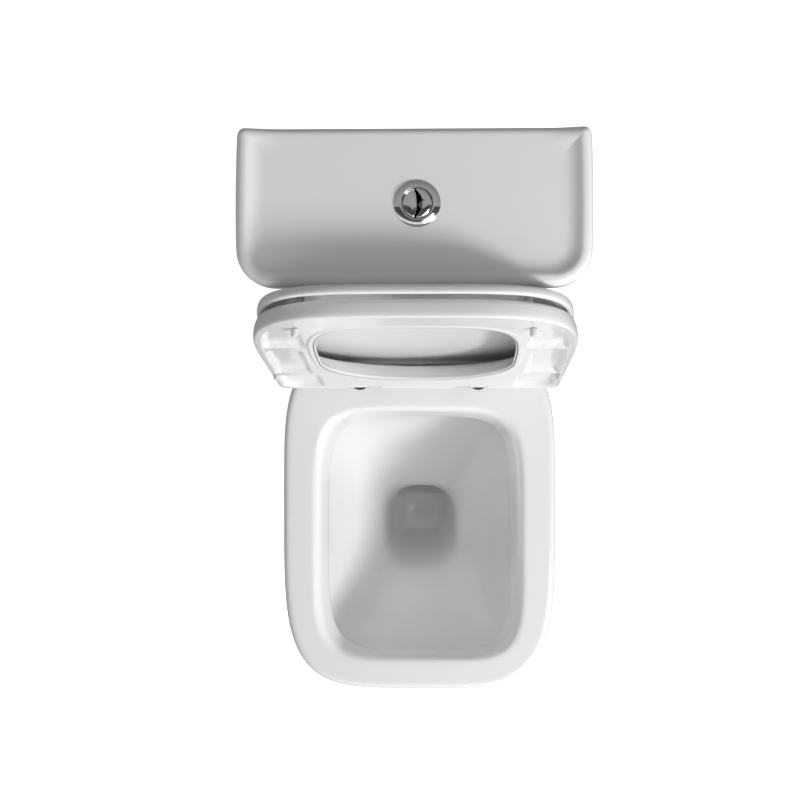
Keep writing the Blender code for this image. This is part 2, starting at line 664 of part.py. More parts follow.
def make_coupling(brass, steel, rubber):
    """Two bolts clamp the cistern down on the shelf."""
    under = RIM_HEIGHT - DECK_THICKNESS - GAP
    for side, word in ((-1, "left"), (1, "right")):
        place = standing(side * BOLT_SPREAD, CISTERN_MIDDLE)
        head = VALVE_FLANGE
        bolt = [(0, 0.352), (0.0040, 0.352), (0.0040, head), (0.0085, head), (0.0085, head + 0.0035),
                (0.0055, head + 0.0055), (0, head + 0.0055)]
        to_object(f"coupling_bolt_{word}", turned(bolt, 12, closed=False), brass, place)
        seal = sleeve(0.0044, 0.0130, FLOOR_INSIDE + GAP, VALVE_FLANGE - GAP)
        to_object(f"coupling_washer_{word}", turned(seal, 14), rubber, place)
        plate = sleeve(0.0044, 0.0120, under - 0.0020, under)
        to_object(f"coupling_plate_{word}", turned(plate, 14), steel, place)
        wing_nut(f"coupling_wing_nut_{word}", brass,
                 standing(side * BOLT_SPREAD, CISTERN_MIDDLE, under - 0.0020 - GAP), 0.0044)


def make_hinges(cover, steel, plastic, rubber):
    """Each hinge is a post on the deck with a pin through it, held by a stud from below."""
    under = RIM_HEIGHT - DECK_THICKNESS - GAP
    base = RIM_HEIGHT + 0.0020
    knuckle = 0.0108
    for side, word in ((-1, "left"), (1, "right")):
        place = standing(side * HINGE_X, PIN_FORWARD)
        pad = sleeve(0.0044, 0.0140, RIM_HEIGHT + GAP, base - GAP)
        to_object(f"hinge_pad_{word}", turned(pad, 16), rubber, place)
        outline = [(-knuckle, base - PIN_HEIGHT), (knuckle, base - PIN_HEIGHT)]
        for step in range(9):
            angle = math.pi * step / 8
            outline.append((knuckle * math.cos(angle), knuckle * math.sin(angle)))
        half = 0.5 * (POST_OUTER - POST_INNER)
        centre = standing(side * HINGE_X, PIN_FORWARD, PIN_HEIGHT)
        post = to_object(f"hinge_post_{word}", extruded(outline, -half, half, "yz"), cover, centre)
        bore = PIN_RADIUS + PIN_CLEARANCE
        cut(post, cylinder(f"guide_post_pin_{word}", centre, bore, -0.03, 0.03, 12, axis="X"))
        cut(post, cylinder(f"guide_post_stud_{word}", place, 0.0043, base - 0.002, PIN_HEIGHT - 0.0060, 12))
        stud_top = PIN_HEIGHT - 0.0066
        stud = [(0, 0.350), (0.0040, 0.350), (0.0040, stud_top), (0, stud_top)]
        to_object(f"hinge_stud_{word}", turned(stud, 12, closed=False), steel, place)
        cone = [(0.0044, under - 0.0050), (0.0090, under - 0.0050), (0.0120, under), (0.0044, under)]
        to_object(f"hinge_washer_{word}", turned(cone, 14), rubber, place)
        wing_nut(f"hinge_wing_nut_{word}", plastic,
                 standing(side * HINGE_X, PIN_FORWARD, under - 0.0050 - GAP), 0.0044)
        middle = standing(side * 0.5 * (PIN_INNER + PIN_OUTER), PIN_FORWARD, PIN_HEIGHT)
        reach = 0.5 * (PIN_OUTER - PIN_INNER)
        to_object(f"hinge_pin_{word}", rod(PIN_RADIUS, -reach, reach, 12), steel, middle @ lying("X"))


def make_floor_fixings(steel, plastic, chrome):
    for side, word in ((-1, "left"), (1, "right")):
        place = standing(side * FLOOR_SCREW_X, FLOOR_SCREW_FORWARD)
        ferrule = [(0.0029, 0.004), (0.0042, 0.004), (0.0042, SCREW_SEAT + GAP), (0.0066, SCREW_SEAT + GAP),
                   (0.0066, SCREW_SEAT + 0.0018), (0.0029, SCREW_SEAT + 0.0018)]
        to_object(f"floor_ferrule_{word}", turned(ferrule, 12), plastic, place)
        head = SCREW_SEAT + 0.0018 + GAP
        screw = [(0, 0.0006), (0.0026, 0.0030), (0.0026, head), (0.0062, head), (0.0050, head + 0.0030),
                 (0, head + 0.0036)]
        to_object(f"floor_screw_{word}", turned(screw, 12, closed=False), steel, place)
        low = SCREW_SEAT + GAP
        cap = [(0.0072, low), (0.0086, low), (0.0084, low + 0.0070), (0.0055, low + 0.0105), (0, low + 0.0118),
               (0, low + 0.0104), (0.0048, low + 0.0092), (0.0072, low + 0.0064)]
        to_object(f"floor_cap_{word}", cap_shell(cap), chrome, place)


def cap_shell(profile):
    """A thin dome: its outline touches the axis twice and is open below."""
    shell = bmesh.new()
    verts = [shell.verts.new((radius, 0, height)) for radius, height in profile]
    pairs = [(index, (index + 1) % len(verts)) for index in range(len(verts))]
    pairs = [pair for pair in pairs if profile[pair[0]][0] > 0 or profile[pair[1]][0] > 0]
    edges = [shell.edges.new((verts[first], verts[second])) for first, second in pairs]
    bmesh.ops.spin(
        shell, geom=verts + edges, cent=(0, 0, 0), axis=(0, 0, 1), dvec=(0, 0, 0),
        angle=2 * math.pi, steps=14, use_merge=True,
    )
    bmesh.ops.remove_doubles(shell, verts=shell.verts, dist=1e-6)
    return shell


def lid_outline(half_width, front, rear, corner, power=OUTLINE_POWER, front_steps=22):
    """The plan of the seat or lid: round at the front, straight sides, small corners behind."""
    points = []
    for step in range(front_steps + 1):
        angle = math.pi * step / front_steps
        x, y = power_curve(angle, half_width, front - SEAT_MIDDLE, power)
        points.append((x, SEAT_MIDDLE + y))
    quarter = 0.5 * math.pi
    points += corner_arc(corner - half_width, rear + corner, corner, 2 * quarter, 4)
    points += corner_arc(half_width - corner, rear + corner, corner, 3 * quarter, 4)
    return points


def closed_ring(outline, height):
    """Plan points as they lie closed; forward is -Y from the pins."""
    return [Vector((x, -forward, height)) for x, forward in outline]


def seat_floor(forward, height=SEAT_BOTTOM):
    """A height in the seat's lower half, which thins towards the front."""
    return height * (1 - SEAT_RISE * forward) if height < 0 else height


def thinned_ring(outline, height):
    """A closed ring of the seat, raised in front where it lies below the pins."""
    return [Vector((x, -forward, seat_floor(max(forward, 0.0), height))) for x, forward in outline]


def crowned_ring(outline, height):
    """A closed ring of the lid's top, which falls away towards the front edge."""
    ring = []
    for x, forward in outline:
        share = max(0.0, forward - CROWN_START) / CROWN_REACH
        ring.append(Vector((x, -forward, height - CROWN_FALL * share ** 2)))
    return ring


def opening_outline(grow=0.0, steps=32):
    """The seat's opening: square-shouldered in front and a deep oval behind."""
    points = []
    for step in range(steps):
        angle = 2 * math.pi * (step + 0.5) / steps
        front = math.sin(angle) > 0
        reach = (OPENING_FRONT if front else OPENING_BACK) + grow
        x, y = power_curve(angle, OPENING_HALF_WIDTH + grow, reach, 4.2 if front else 2.15)
        points.append((x, OPENING_MIDDLE + y))
    return points


def knuckle_boss(name, inner, outer, radius, top, place, side):
    """A lug that hangs from the lid down round the pin."""
    outline = [(radius, top), (-radius, top)]
    for step in range(7):
        angle = math.pi + math.pi * step / 6
        outline.append((radius * math.cos(angle), radius * math.sin(angle)))
    low, high = sorted((side * inner, side * outer))
    return to_object(name, extruded(outline, low, high, "yz"), place=place)


def pocket_outline(middle_x, middle_y, half_x, half_y, power=3.6, steps=16):
    points = []
    for step in range(steps):
        angle = 2 * math.pi * (step + 0.5) / steps
        x, y = power_curve(angle, half_x, half_y, power)
        points.append((middle_x + x, middle_y + y))
    return points


def make_pocket(name, plan, depth, place):
    """A recess moulded into the seat's underside, its walls drawn in as they go up."""
    middle_x, middle_y, half_x, half_y = plan
    rings = []
    for height, shrink in ((SEAT_BOTTOM - 0.002, 0.0), (SEAT_BOTTOM + depth - 0.003, 0.002),
                           (SEAT_BOTTOM + depth, 0.006)):
        rings.append(thinned_ring(pocket_outline(middle_x, middle_y, half_x - shrink, half_y - shrink), height))
    return to_object(name, loft(rings), place=place)


def make_seat(plastic, rubber):
    place = raised()
    levels = ((SEAT_BOTTOM, 0.0022, 0.000), (SEAT_BOTTOM + 0.0025, 0.0004, -0.0080),
              (-0.002, 0.0, -0.0138), (0.003, 0.0006, -0.0135), (0.0075, 0.0030, -0.0110),
              (SEAT_TOP, 0.0085, -0.0060))
    rings = []
    for height, inset, rear in levels:
        outline = lid_outline(SEAT_HALF_WIDTH - inset, 0.413 - inset, rear, 0.020, SEAT_POWER)
        rings.append(thinned_ring(outline, height))
    seat = to_object("seat_ring", loft(rings), plastic, place)
    hole = []
    for height, grow in ((SEAT_BOTTOM - 0.002, 0.0005), (-0.002, 0.0), (0.003, 0.0015), (0.0075, 0.008),
                         (SEAT_TOP + 0.002, 0.022)):
        hole.append(thinned_ring(opening_outline(grow), height))
    cut(seat, to_object("guide_seat_opening", loft(hole), place=place))
    for side, word in ((-1, "left"), (1, "right")):
        low, high = sorted((side * NOTCH_INNER, side * NOTCH_OUTER))
        cut(seat, block(f"guide_notch_{word}", (low, -0.0135, -0.02), (high, 0.03, 0.02), place))
        bore = Matrix.Translation(Vector((side * 0.097, 0, 0)))
        cut(seat, cylinder(f"guide_seat_pin_{word}", place @ bore, PIN_RADIUS + PIN_CLEARANCE,
                           -0.0085, 0.0085, 12, axis="X"))
        for name, middle_x, middle_y, half_x, half_y in POCKETS:
            plan = (side * middle_x, middle_y, half_x, half_y)
            cut(seat, make_pocket(f"guide_pocket_{name}_{word}", plan, POCKET_DEPTH, place))
        for spot, forward, x in (("front", 0.357, 0.126), ("rear", 0.0920, 0.1755)):
            under = seat_floor(forward) - GAP
            spin = place @ Matrix.Translation(Vector((side * x, -forward, under)))
            foot = RIM_HEIGHT + GAP - PIN_HEIGHT - under
            pad = [(0, 0), (0.0042, 0), (0.0042, foot + 0.001), (0.0032, foot), (0, foot)]
            to_object(f"seat_buffer_{spot}_{word}", turned(pad, 12, closed=False), rubber, spin)
    return seat


def make_toilet_lid(plastic, rubber):
    """A thin tray upside down over the seat, with its lugs reaching down to the pins."""
    place = raised()
    edge = ((COVER_BOTTOM, 0.0012, -0.0050), (COVER_BOTTOM + 0.003, 0.0, -0.0065))
    top = ((0.0215, 0.0006, -0.0060), (0.0255, 0.0030, -0.0040), (COVER_TOP, 0.0090, 0.0010),
           (COVER_TOP, 0.1000, 0.1000))
    rings = []
    for levels, ring in ((edge, closed_ring), (top, crowned_ring)):
        for height, inset, rear in levels:
            outline = lid_outline(COVER_HALF_WIDTH - inset, 0.423 - inset, rear, 0.020)
            rings.append(ring(outline, height))
    lid = to_object("toilet_lid", loft(rings), plastic, place)
    for side, word in ((-1, "left"), (1, "right")):
        lug = knuckle_boss(f"guide_lug_{word}", 0.0485, 0.0665, 0.0090, 0.0200, place, side)
        join(lid, lug)
    hollow = []
    for height, inset in ((COVER_BOTTOM - 0.002, 0.0062), (0.0185, 0.0072), (0.0215, 0.0110)):
        outline = lid_outline(COVER_HALF_WIDTH - inset, 0.423 - inset, 0.0220, 0.012)
        hollow.append(closed_ring(outline, height))
    cut(lid, to_object("guide_lid_panel", loft(hollow), place=place))
    for side, word in ((-1, "left"), (1, "right")):
        bore = Matrix.Translation(Vector((side * 0.0575, 0, 0)))
        cut(lid, cylinder(f"guide_lid_pin_{word}", place @ bore, PIN_RADIUS + PIN_CLEARANCE,
                          -0.013, 0.013, 12, axis="X"))
        spin = place @ Matrix.Translation(Vector((side * 0.120, -0.372, 0.0)))
        low = SEAT_TOP + GAP
        top = 0.0215 - GAP
        pad = [(0, low), (0.0040, low + 0.0008), (0.0050, top), (0, top)]
        to_object(f"lid_buffer_{word}", turned(pad, 12, closed=False), rubber, spin)
    return lid


def main():
    clear_scene()
    ceramic = paint("glazed_ceramic", (0.90, 0.90, 0.89), 0.08)
    seat_plastic = paint("seat_plastic", (0.91, 0.91, 0.90), 0.15)
    chrome = paint("chrome", (0.80, 0.81, 0.82), 0.06, 1.0)
    steel = paint("steel", (0.62, 0.62, 0.63), 0.30, 1.0)
    brass = paint("brass", (0.72, 0.56, 0.28), 0.30, 1.0)
    rubber = paint("rubber", (0.03, 0.03, 0.03), 0.75)
    pale = paint("valve_plastic", (0.86, 0.86, 0.84), 0.35)
    dark = paint("float_plastic", (0.10, 0.22, 0.42), 0.40)
    buffer = paint("buffer_rubber", (0.78, 0.78, 0.77), 0.60)
    make_pan(ceramic)
    make_tank(ceramic)
    make_cistern_lid(ceramic)
    make_flush_button(chrome, pale)
    make_flush_valve(pale, dark, rubber)
    make_fill_valve(pale, dark, rubber)
    make_coupling(brass, steel, rubber)
    make_hinges(seat_plastic, steel, pale, rubber)
    make_floor_fixings(steel, pale, chrome)
    make_seat(seat_plastic, buffer)
    make_toilet_lid(seat_plastic, buffer)


main()
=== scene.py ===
import json
import math

import bmesh
import bpy
import numpy as np
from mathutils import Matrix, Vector


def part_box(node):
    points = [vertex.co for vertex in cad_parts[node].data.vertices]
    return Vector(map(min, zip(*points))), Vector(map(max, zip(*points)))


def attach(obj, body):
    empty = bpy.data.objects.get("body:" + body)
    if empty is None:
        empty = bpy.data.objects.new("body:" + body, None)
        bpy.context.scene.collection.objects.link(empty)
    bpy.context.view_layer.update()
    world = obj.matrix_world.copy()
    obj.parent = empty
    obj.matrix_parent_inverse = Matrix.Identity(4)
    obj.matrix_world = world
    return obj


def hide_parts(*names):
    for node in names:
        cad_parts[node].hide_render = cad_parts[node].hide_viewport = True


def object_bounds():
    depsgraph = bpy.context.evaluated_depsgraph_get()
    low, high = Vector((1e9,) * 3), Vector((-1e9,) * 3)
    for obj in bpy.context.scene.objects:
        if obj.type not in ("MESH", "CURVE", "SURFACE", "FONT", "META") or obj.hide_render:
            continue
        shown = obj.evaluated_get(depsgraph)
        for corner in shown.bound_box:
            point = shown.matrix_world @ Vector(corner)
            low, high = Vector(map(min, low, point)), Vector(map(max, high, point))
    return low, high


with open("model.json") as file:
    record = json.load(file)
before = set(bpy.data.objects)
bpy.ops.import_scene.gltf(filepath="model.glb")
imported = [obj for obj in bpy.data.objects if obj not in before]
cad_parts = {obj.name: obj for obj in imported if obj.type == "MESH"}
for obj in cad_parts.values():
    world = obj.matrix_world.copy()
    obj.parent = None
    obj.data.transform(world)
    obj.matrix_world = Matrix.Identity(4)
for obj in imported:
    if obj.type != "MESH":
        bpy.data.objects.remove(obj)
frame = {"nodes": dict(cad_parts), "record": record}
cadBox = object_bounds()
wallLine = round(cadBox[1][1], 4)
print("frame loaded:", len(frame["nodes"]), "nodes")


def superPoint(angle, reachX, reachY, power):
    cosine, sine = math.cos(angle), math.sin(angle)
    return (reachX * math.copysign(abs(cosine) ** (2 / power), cosine),
            reachY * math.copysign(abs(sine) ** (2 / power), sine))


def spaced(points, fractions):
    # points at given shares of an open line's length
    line = np.array(points, float)
    steps = np.hypot(*(line[1:] - line[:-1]).T)
    run = np.concatenate([[0], np.cumsum(steps)])
    run = run / run[-1]
    return np.stack([np.interp(fractions, run, line[:, axis]) for axis in (0, 1)], axis=1)


def smoothRow(rows, height):
    # the values of a table at one height, on a smooth line through its rows
    table = np.array(rows, float)
    heights, values = table[:, 0], table[:, 1:]
    spot = int(np.clip(np.searchsorted(heights, height) - 1, 0, len(heights) - 2))
    gaps = np.diff(heights)
    slopes = np.diff(values, axis=0) / gaps[:, None]
    lean = np.zeros_like(values)
    lean[0], lean[-1] = slopes[0], slopes[-1]
    product = slopes[1:] * slopes[:-1]
    total = np.where(np.abs(slopes[1:] + slopes[:-1]) < 1e-12, 1, slopes[1:] + slopes[:-1])
    lean[1:-1] = np.where(product > 0, 2 * product / total, 0)
    share, gap = (height - heights[spot]) / gaps[spot], gaps[spot]
    rest = 1 - share
    low = (1 + 2 * share) * values[spot] + share * gap * lean[spot]
    high = (1 + 2 * rest) * values[spot + 1] - rest * gap * lean[spot + 1]
    return rest ** 2 * low + share ** 2 * high


def ease(value, low, high):
    share = min(1.0, max(0.0, (value - low) / (high - low)))
    return share * share * (3 - 2 * share)


def startPiece():
    if bpy.context.object and bpy.context.object.mode != "OBJECT":
        bpy.ops.object.mode_set(mode="OBJECT")
    bpy.ops.object.select_all(action="DESELECT")


def pick(*pieces):
    startPiece()
    for piece in pieces:
        piece.select_set(True)
    bpy.context.view_layer.objects.active = pieces[0]


def applyAll(piece):
    pick(piece)
    for modifier in list(piece.modifiers):
        bpy.ops.object.modifier_apply(modifier=modifier.name)


def setRing(piece, ring):
    work = bmesh.from_edit_mesh(piece.data)
    order = work.verts.layers.int["order"]
    for vert in work.verts:
        if vert.select:
            vert.co = ring[vert[order]]
    bmesh.update_edit_mesh(piece.data)


def drawSkin(name, rings, joinEnds=False, levels=1):
    # a circle is extruded ring by ring, each new ring drawn out to the next line of the piece
    startPiece()
    bpy.ops.mesh.primitive_circle_add(vertices=len(rings[0]), radius=0.1)
    piece = bpy.context.object
    piece.name = piece.data.name = name
    bpy.ops.object.mode_set(mode="EDIT")
    bpy.ops.mesh.select_mode(type="VERT")
    work = bmesh.from_edit_mesh(piece.data)
    order = work.verts.layers.int.new("order")
    for number, vert in enumerate(work.verts):
        vert[order] = number
    bmesh.update_edit_mesh(piece.data)
    bpy.ops.mesh.select_all(action="SELECT")
    setRing(piece, rings[0])
    for ring in rings[1:]:
        bpy.ops.mesh.extrude_region_move()
        setRing(piece, ring)
    if joinEnds:
        work = bmesh.from_edit_mesh(piece.data)
        for edge in work.edges:
            edge.select = edge.is_boundary
        bmesh.update_edit_mesh(piece.data)
        bpy.ops.mesh.bridge_edge_loops()
    else:
        bpy.ops.mesh.select_all(action="SELECT")
        bpy.ops.mesh.fill_holes(sides=0)
        bpy.ops.mesh.select_mode(type="FACE")
        bpy.ops.mesh.select_all(action="DESELECT")
        work = bmesh.from_edit_mesh(piece.data)
        for face in work.faces:
            face.select = len(face.verts) > 4
        bmesh.update_edit_mesh(piece.data)
        bpy.ops.mesh.poke()
    bpy.ops.mesh.select_all(action="SELECT")
    bpy.ops.mesh.normals_make_consistent(inside=False)
    bpy.ops.object.mode_set(mode="OBJECT")
    if levels:
        smooth = piece.modifiers.new("smooth", "SUBSURF")
        smooth.levels = smooth.render_levels = levels
        applyAll(piece)
    bpy.ops.object.shade_smooth()
    return piece


def cutWith(piece, cutter):
    hole = piece.modifiers.new("hole", "BOOLEAN")
    hole.operation, hole.solver, hole.object = "DIFFERENCE", "EXACT", cutter
    applyAll(piece)
    bpy.data.objects.remove(cutter)


def roundBlock(name, low, high, radius, segments=4):
    startPiece()
    low, high = Vector(low), Vector(high)
    bpy.ops.mesh.primitive_cube_add(size=1, location=(low + high) / 2)
    block = bpy.context.object
    block.name = name
    block.scale = high - low
    bpy.ops.object.transform_apply(location=True, rotation=True, scale=True)
    edge = block.modifiers.new("edge", "BEVEL")
    edge.width, edge.segments = radius, segments
    applyAll(block)
    return block


def roundTool(name, place, radius, depth, turn=(0, 0, 0)):
    startPiece()
    bpy.ops.mesh.primitive_cylinder_add(vertices=64, radius=radius, depth=depth,
                                        location=place, rotation=turn)
    bpy.context.object.name = name
    bpy.ops.object.transform_apply(location=True, rotation=True, scale=True)
    return bpy.context.object


def stand(forward):
    # world y of a distance out from the wall, and back again
    return wallLine - forward


hinge = {"height": 0.417, "forward": 0.258, "openAngle": math.radians(99)}


def raiseUp(piece):
    # from lying closed about the pins to standing open
    pick(piece)
    piece.rotation_euler = (-hinge["openAngle"], 0, 0)
    piece.location = (0, stand(hinge["forward"]), hinge["height"])
    bpy.ops.object.transform_apply(location=True, rotation=True, scale=True)


class Line:
    # one socket; sums and products of lines add their Math nodes
    def __init__(self, tree, socket):
        self.tree, self.socket = tree, socket

    def join(self, operation, first, second):
        node = self.tree.nodes.new("ShaderNodeMath")
        node.operation = operation
        for slot, value in zip(node.inputs, (first, second)):
            if isinstance(value, Line):
                self.tree.links.new(value.socket, slot)
            else:
                slot.default_value = value
        return Line(self.tree, node.outputs[0])

    def __add__(self, other):
        return self.join("ADD", self, other)

    def __radd__(self, other):
        return self.join("ADD", other, self)

    def __sub__(self, other):
        return self.join("SUBTRACT", self, other)

    def __rsub__(self, other):
        return self.join("SUBTRACT", other, self)

    def __mul__(self, other):
        return self.join("MULTIPLY", self, other)

    def __rmul__(self, other):
        return self.join("MULTIPLY", other, self)

    def __gt__(self, other):
        return self.join("GREATER_THAN", self, other)

    def __lt__(self, other):
        return self.join("LESS_THAN", self, other)


class Nodes:
    # a node tree; a node takes its settings first, then values or lines for its sockets
    def __init__(self, tree):
        self.tree = tree

    def node(self, kind, settings, sockets, out=0):
        node = self.tree.nodes.new(kind)
        for name, value in settings.items():
            if name == "stops":
                stops = node.color_ramp.elements
                while len(stops) < len(value):
                    stops.new(0.5)
                for stop, (position, colour) in zip(stops, value):
                    stop.position, stop.color = position, colour
            else:
                setattr(node, name, value)
        for name, value in sockets.items():
            if isinstance(value, Line):
                self.tree.links.new(value.socket, node.inputs[name])
            else:
                node.inputs[name].default_value = value
        return Line(self.tree, node.outputs[out])


class Finish(Nodes):
    # a material; what doesn't vary goes on the shader
    def __init__(self, name, fixed):
        self.material = bpy.data.materials.new(name)
        self.material.use_nodes = True
        super().__init__(self.material.node_tree)
        self.shader = self.tree.nodes["Principled BSDF"]
        for socket, value in fixed.items():
            self.shader.inputs[socket].default_value = value
        self.place = self.node("ShaderNodeTexCoord", {}, {}, "Object")

    def noise(self, scale, detail=2.0, stretch=(1, 1, 1)):
        spot = self.node("ShaderNodeMapping", {}, {"Vector": self.place, "Scale": stretch})
        sockets = {"Vector": spot, "Scale": scale, "Detail": detail}
        return self.node("ShaderNodeTexNoise", {}, sockets, "Fac")

    def blend(self, share, first, second):
        return self.node("ShaderNodeMix", {"data_type": "RGBA"}, {0: share, 6: first, 7: second}, 2)

    def feed(self, **lines):
        for name, line in lines.items():
            self.tree.links.new(line.socket, self.shader.inputs[name.replace("_", " ")])

    def relief(self, height, strength, distance, edge=0.0):
        sockets = {"Height": height, "Strength": strength, "Distance": distance}
        if edge:
            rounded = self.node("ShaderNodeBevel", {"samples": 4}, {"Radius": edge}, "Normal")
            sockets["Normal"] = rounded
        self.feed(Normal=self.node("ShaderNodeBump", {}, sockets, "Normal"))


def grey(value, warmth=0.0):
    return (value + warmth, value, value - warmth, 1)


def glazedCeramic(name, edge=0.0):
    look = Finish(name, {"Coat Roughness": 0.04, "IOR": 1.5, "Specular IOR Level": 0.5})
    cloudy = look.noise(4.0, 2.0)
    wiped = look.noise(14.0, 3.0)
    cells = look.node("ShaderNodeTexVoronoi", {}, {"Vector": look.place, "Scale": 160.0}, "Distance")
    specks = cells < 0.035
    rare = look.noise(60.0, 0.0) > 0.62
    glaze = look.blend(cloudy, grey(0.855, 0.002), grey(0.885, 0.001))
    glaze = look.blend(specks * rare * 0.5, glaze, (0.50, 0.47, 0.43, 1))
    height = look.node("ShaderNodeSeparateXYZ", {}, {0: look.place}, "Z")
    grain = look.noise(420.0, 4.0)
    biscuit = look.blend(grain, (0.66, 0.60, 0.52, 1), (0.78, 0.73, 0.65, 1))
    # unglazed where it stands on the floor
    bare = look.node("ShaderNodeMapRange", {}, {0: height, 1: 0.0035, 2: 0.0015, 3: 0.0, 4: 1.0})
    look.feed(Base_Color=look.blend(bare, glaze, biscuit),
              Roughness=0.16 + 0.10 * wiped + 0.55 * bare,
              Coat_Weight=0.65 - 0.65 * bare)
    waves = look.noise(22.0, 1.0)
    peel = look.noise(150.0, 1.0)
    look.relief(waves * 0.8 + peel * 0.12 + bare * grain * 0.4, 0.10, 0.0016, edge)
    return look.material


def mouldedPlastic(name, low, high, rough, grainScale=260.0, gloss=0.0, edge=0.0):
    look = Finish(name, {"IOR": 1.5, "Coat Roughness": 0.08})
    cloudy = look.noise(7.0, 3.0)
    flow = look.noise(10.0, 4.0, (1, 1, 0.25))
    grain = look.noise(grainScale, 3.0)
    look.feed(Base_Color=look.blend(cloudy * 0.7 + flow * 0.3, low, high),
              Roughness=rough + 0.10 * flow + 0.05 * grain,
              Coat_Weight=gloss + 0.05 * cloudy)
    look.relief(grain * 0.5 + flow * 0.8, 0.06, 0.0006, edge)
    return look.material


def bareMetal(name, low, high, rough, stretch=(1, 1, 12), edge=0.0, mark=0.04):
    look = Finish(name, {"Metallic": 1.0})
    haze = look.noise(30.0, 3.0)
    lines = look.noise(260.0, 3.0, stretch)
    look.feed(Base_Color=look.blend(haze, low, high), Roughness=rough + 0.05 * haze + 0.08 * lines)
    look.relief(lines, mark, 0.0002, edge)
    return look.material


def blackRubber(name, low, high, edge=0.0):
    look = Finish(name, {"Specular IOR Level": 0.35})
    bloom = look.noise(45.0, 4.0)
    grain = look.noise(700.0, 2.0)
    look.feed(Base_Color=look.blend(bloom, low, high), Roughness=0.62 + 0.2 * bloom)
    look.relief(grain, 0.25, 0.0003, edge)
    return look.material


smallEdge = 0.0006
drawn = (1, 1, 14)
finishes = {
    "ceramic": glazedCeramic("glazedCeramic"),
    "seat_plastic": mouldedPlastic("seatPlastic", grey(0.80, 0.001), grey(0.83, 0.0), 0.17, 220.0, 0.35),
    "chrome": bareMetal("chrome", grey(0.74), grey(0.80), 0.035, (1, 1, 1), smallEdge, 0.01),
    "steel": bareMetal("zincSteel", grey(0.50, 0.005), grey(0.66, -0.004), 0.24, drawn, smallEdge),
    "brass": bareMetal("brass", (0.55, 0.40, 0.17, 1), (0.76, 0.60, 0.31, 1), 0.22, drawn, smallEdge),
    "rubber": blackRubber("blackRubber", grey(0.018), grey(0.050, 0.002), smallEdge),
    "buffer": mouldedPlastic("bufferRubber", grey(0.66), grey(0.74), 0.42, 500.0, 0.0, smallEdge),
    "valve_plastic": mouldedPlastic("valvePlastic", grey(0.72, 0.012), grey(0.80, 0.008),
                                    0.34, 340.0, 0.0, smallEdge),
    "float_plastic": mouldedPlastic("floatPlastic", (0.05, 0.16, 0.36, 1), (0.09, 0.23, 0.46, 1),
                                    0.36, 340.0, 0.0, smallEdge),
}
slots = {part["node"]: part["material_slot"] for part in frame["record"]["subparts"]}
for nodeName, nodeObject in frame["nodes"].items():
    nodeObject.data.materials.clear()
    nodeObject.data.materials.append(finishes[slots[nodeName]])
print("finishes on", len(slots), "nodes")


def fit(piece, body, slot, *nodes):
    piece.data.materials.clear()
    piece.data.materials.append(finishes[slot])
    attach(piece, body)
    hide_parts(*nodes)


